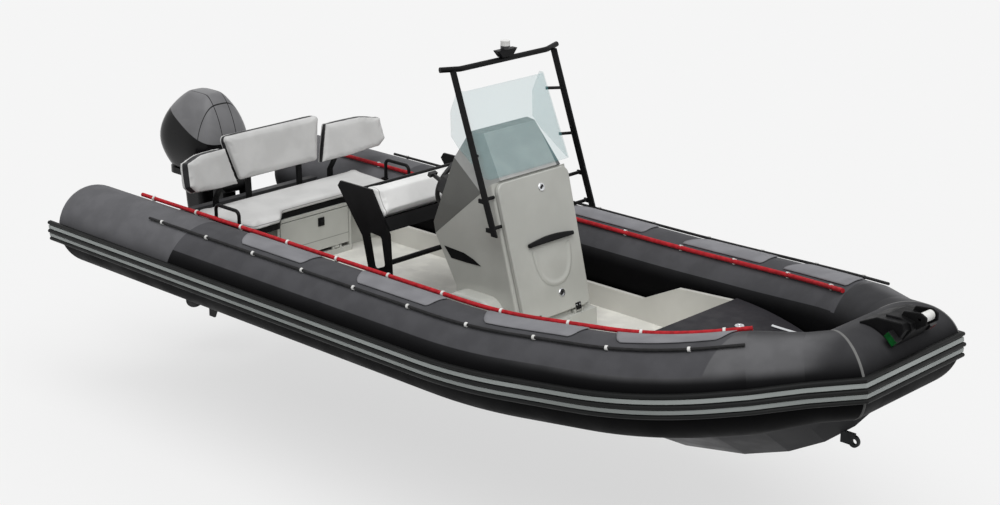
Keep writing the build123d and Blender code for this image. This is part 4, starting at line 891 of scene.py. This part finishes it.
lamp_tint.paint(lamp_tint.step(lamp_tint.off_middle(), LENS_IN, LENS_IN - 0.001), "#111112", 0.45)
dress(lamp_tint.done(clear=0.4, level=0.3), "side_lights")
eye_steel = Finish("towing eye steel", "#2e2f30", "#242526", 0.5, cloud=14, grain=300, relief=0.08)
dress(eye_steel.done(metal=0.6, level=0.2), "towing_eyes")

# Studio
# A pale floor lies under the keel and skeg, with a white surround behind it.
# One wide soft light comes from above the starboard bow.
FLOOR, FLOOR_HALF, FLOOR_GLOW = -0.98, 80, 0.67
FLOOR_COLOUR = linear("#f6f6f6")
SKY_LIGHT, KEY_LIGHT, KEY_SPREAD, KEY_WAY = 0.45, 1.9, 55, (-0.45, 0.35, -1)
CAMERA_AT, CAMERA_DOWN, CAMERA_TURN = (8.1502, -8.3867, 4.3573), 18.2776, 43.9325
LENS, SENSOR = 70.04, 36
floor_mesh = bpy.data.meshes.new("floor")
floor_corners = [(x, y, FLOOR) for x, y in oblong(2 * FLOOR_HALF, 2 * FLOOR_HALF)]
floor_mesh.from_pydata(floor_corners, [], [(0, 1, 2, 3)])
floor = placed("floor", floor_mesh)
floor_paint = bpy.data.materials.new("studio floor")
floor_paint.use_nodes = True
tree = floor_paint.node_tree
matt = tree.nodes["Principled BSDF"]
matt.inputs["Base Color"].default_value = FLOOR_COLOUR
matt.inputs["Roughness"].default_value = 0.9
matt.inputs["Specular IOR Level"].default_value = 0
lit = tree.nodes.new("ShaderNodeEmission")
lit.inputs["Color"].default_value = FLOOR_COLOUR
dull = tree.nodes.new("ShaderNodeBsdfDiffuse")
dull.inputs["Color"].default_value = linear("#5a5a5a")
rays = tree.nodes.new("ShaderNodeLightPath")
white = tree.nodes.new("ShaderNodeMixShader")
white.inputs["Fac"].default_value = FLOOR_GLOW
tree.links.new(matt.outputs["BSDF"], white.inputs[1])
tree.links.new(lit.outputs["Emission"], white.inputs[2])
mixed = tree.nodes.new("ShaderNodeMixShader")
tree.links.new(rays.outputs["Is Diffuse Ray"], mixed.inputs["Fac"])
tree.links.new(white.outputs["Shader"], mixed.inputs[1])
tree.links.new(dull.outputs["BSDF"], mixed.inputs[2])
tree.links.new(mixed.outputs["Shader"], tree.nodes["Material Output"].inputs["Surface"])
floor_mesh.materials.append(floor_paint)

world = bpy.data.worlds.new("studio")
bpy.context.scene.world = world
world.use_nodes = True
sky = world.node_tree
ground = sky.nodes["Background"]
ground.inputs["Color"].default_value = (1, 1, 1, 1)
ground.inputs["Strength"].default_value = SKY_LIGHT
backdrop = sky.nodes.new("ShaderNodeBackground")
backdrop.inputs["Color"].default_value = FLOOR_COLOUR
rays = sky.nodes.new("ShaderNodeLightPath")
seen = rays.outputs["Is Camera Ray"]
for name in ("Is Glossy Ray", "Is Transmission Ray"):
    either = sky.nodes.new("ShaderNodeMath")
    either.operation = "MAXIMUM"
    sky.links.new(seen, either.inputs[0])
    sky.links.new(rays.outputs[name], either.inputs[1])
    seen = either.outputs["Value"]
choose = sky.nodes.new("ShaderNodeMixShader")
sky.links.new(seen, choose.inputs["Fac"])
sky.links.new(ground.outputs["Background"], choose.inputs[1])
sky.links.new(backdrop.outputs["Background"], choose.inputs[2])
sky.links.new(choose.outputs["Shader"], sky.nodes["World Output"].inputs["Surface"])

key = bpy.data.lights.new("soft key", "SUN")
key.energy, key.angle = KEY_LIGHT, math.radians(KEY_SPREAD)
lamp = placed("soft key", key)
lamp.rotation_euler = Vector(KEY_WAY).to_track_quat("-Z", "Y").to_euler()

lens = bpy.data.cameras.new("camera")
lens.lens, lens.sensor_width = LENS, SENSOR
camera = placed("camera", lens)
camera.location = CAMERA_AT
camera.rotation_euler = (math.radians(90 - CAMERA_DOWN), 0, math.radians(CAMERA_TURN))
bpy.context.scene.camera = camera
bpy.context.scene.view_settings.view_transform = "Standard"
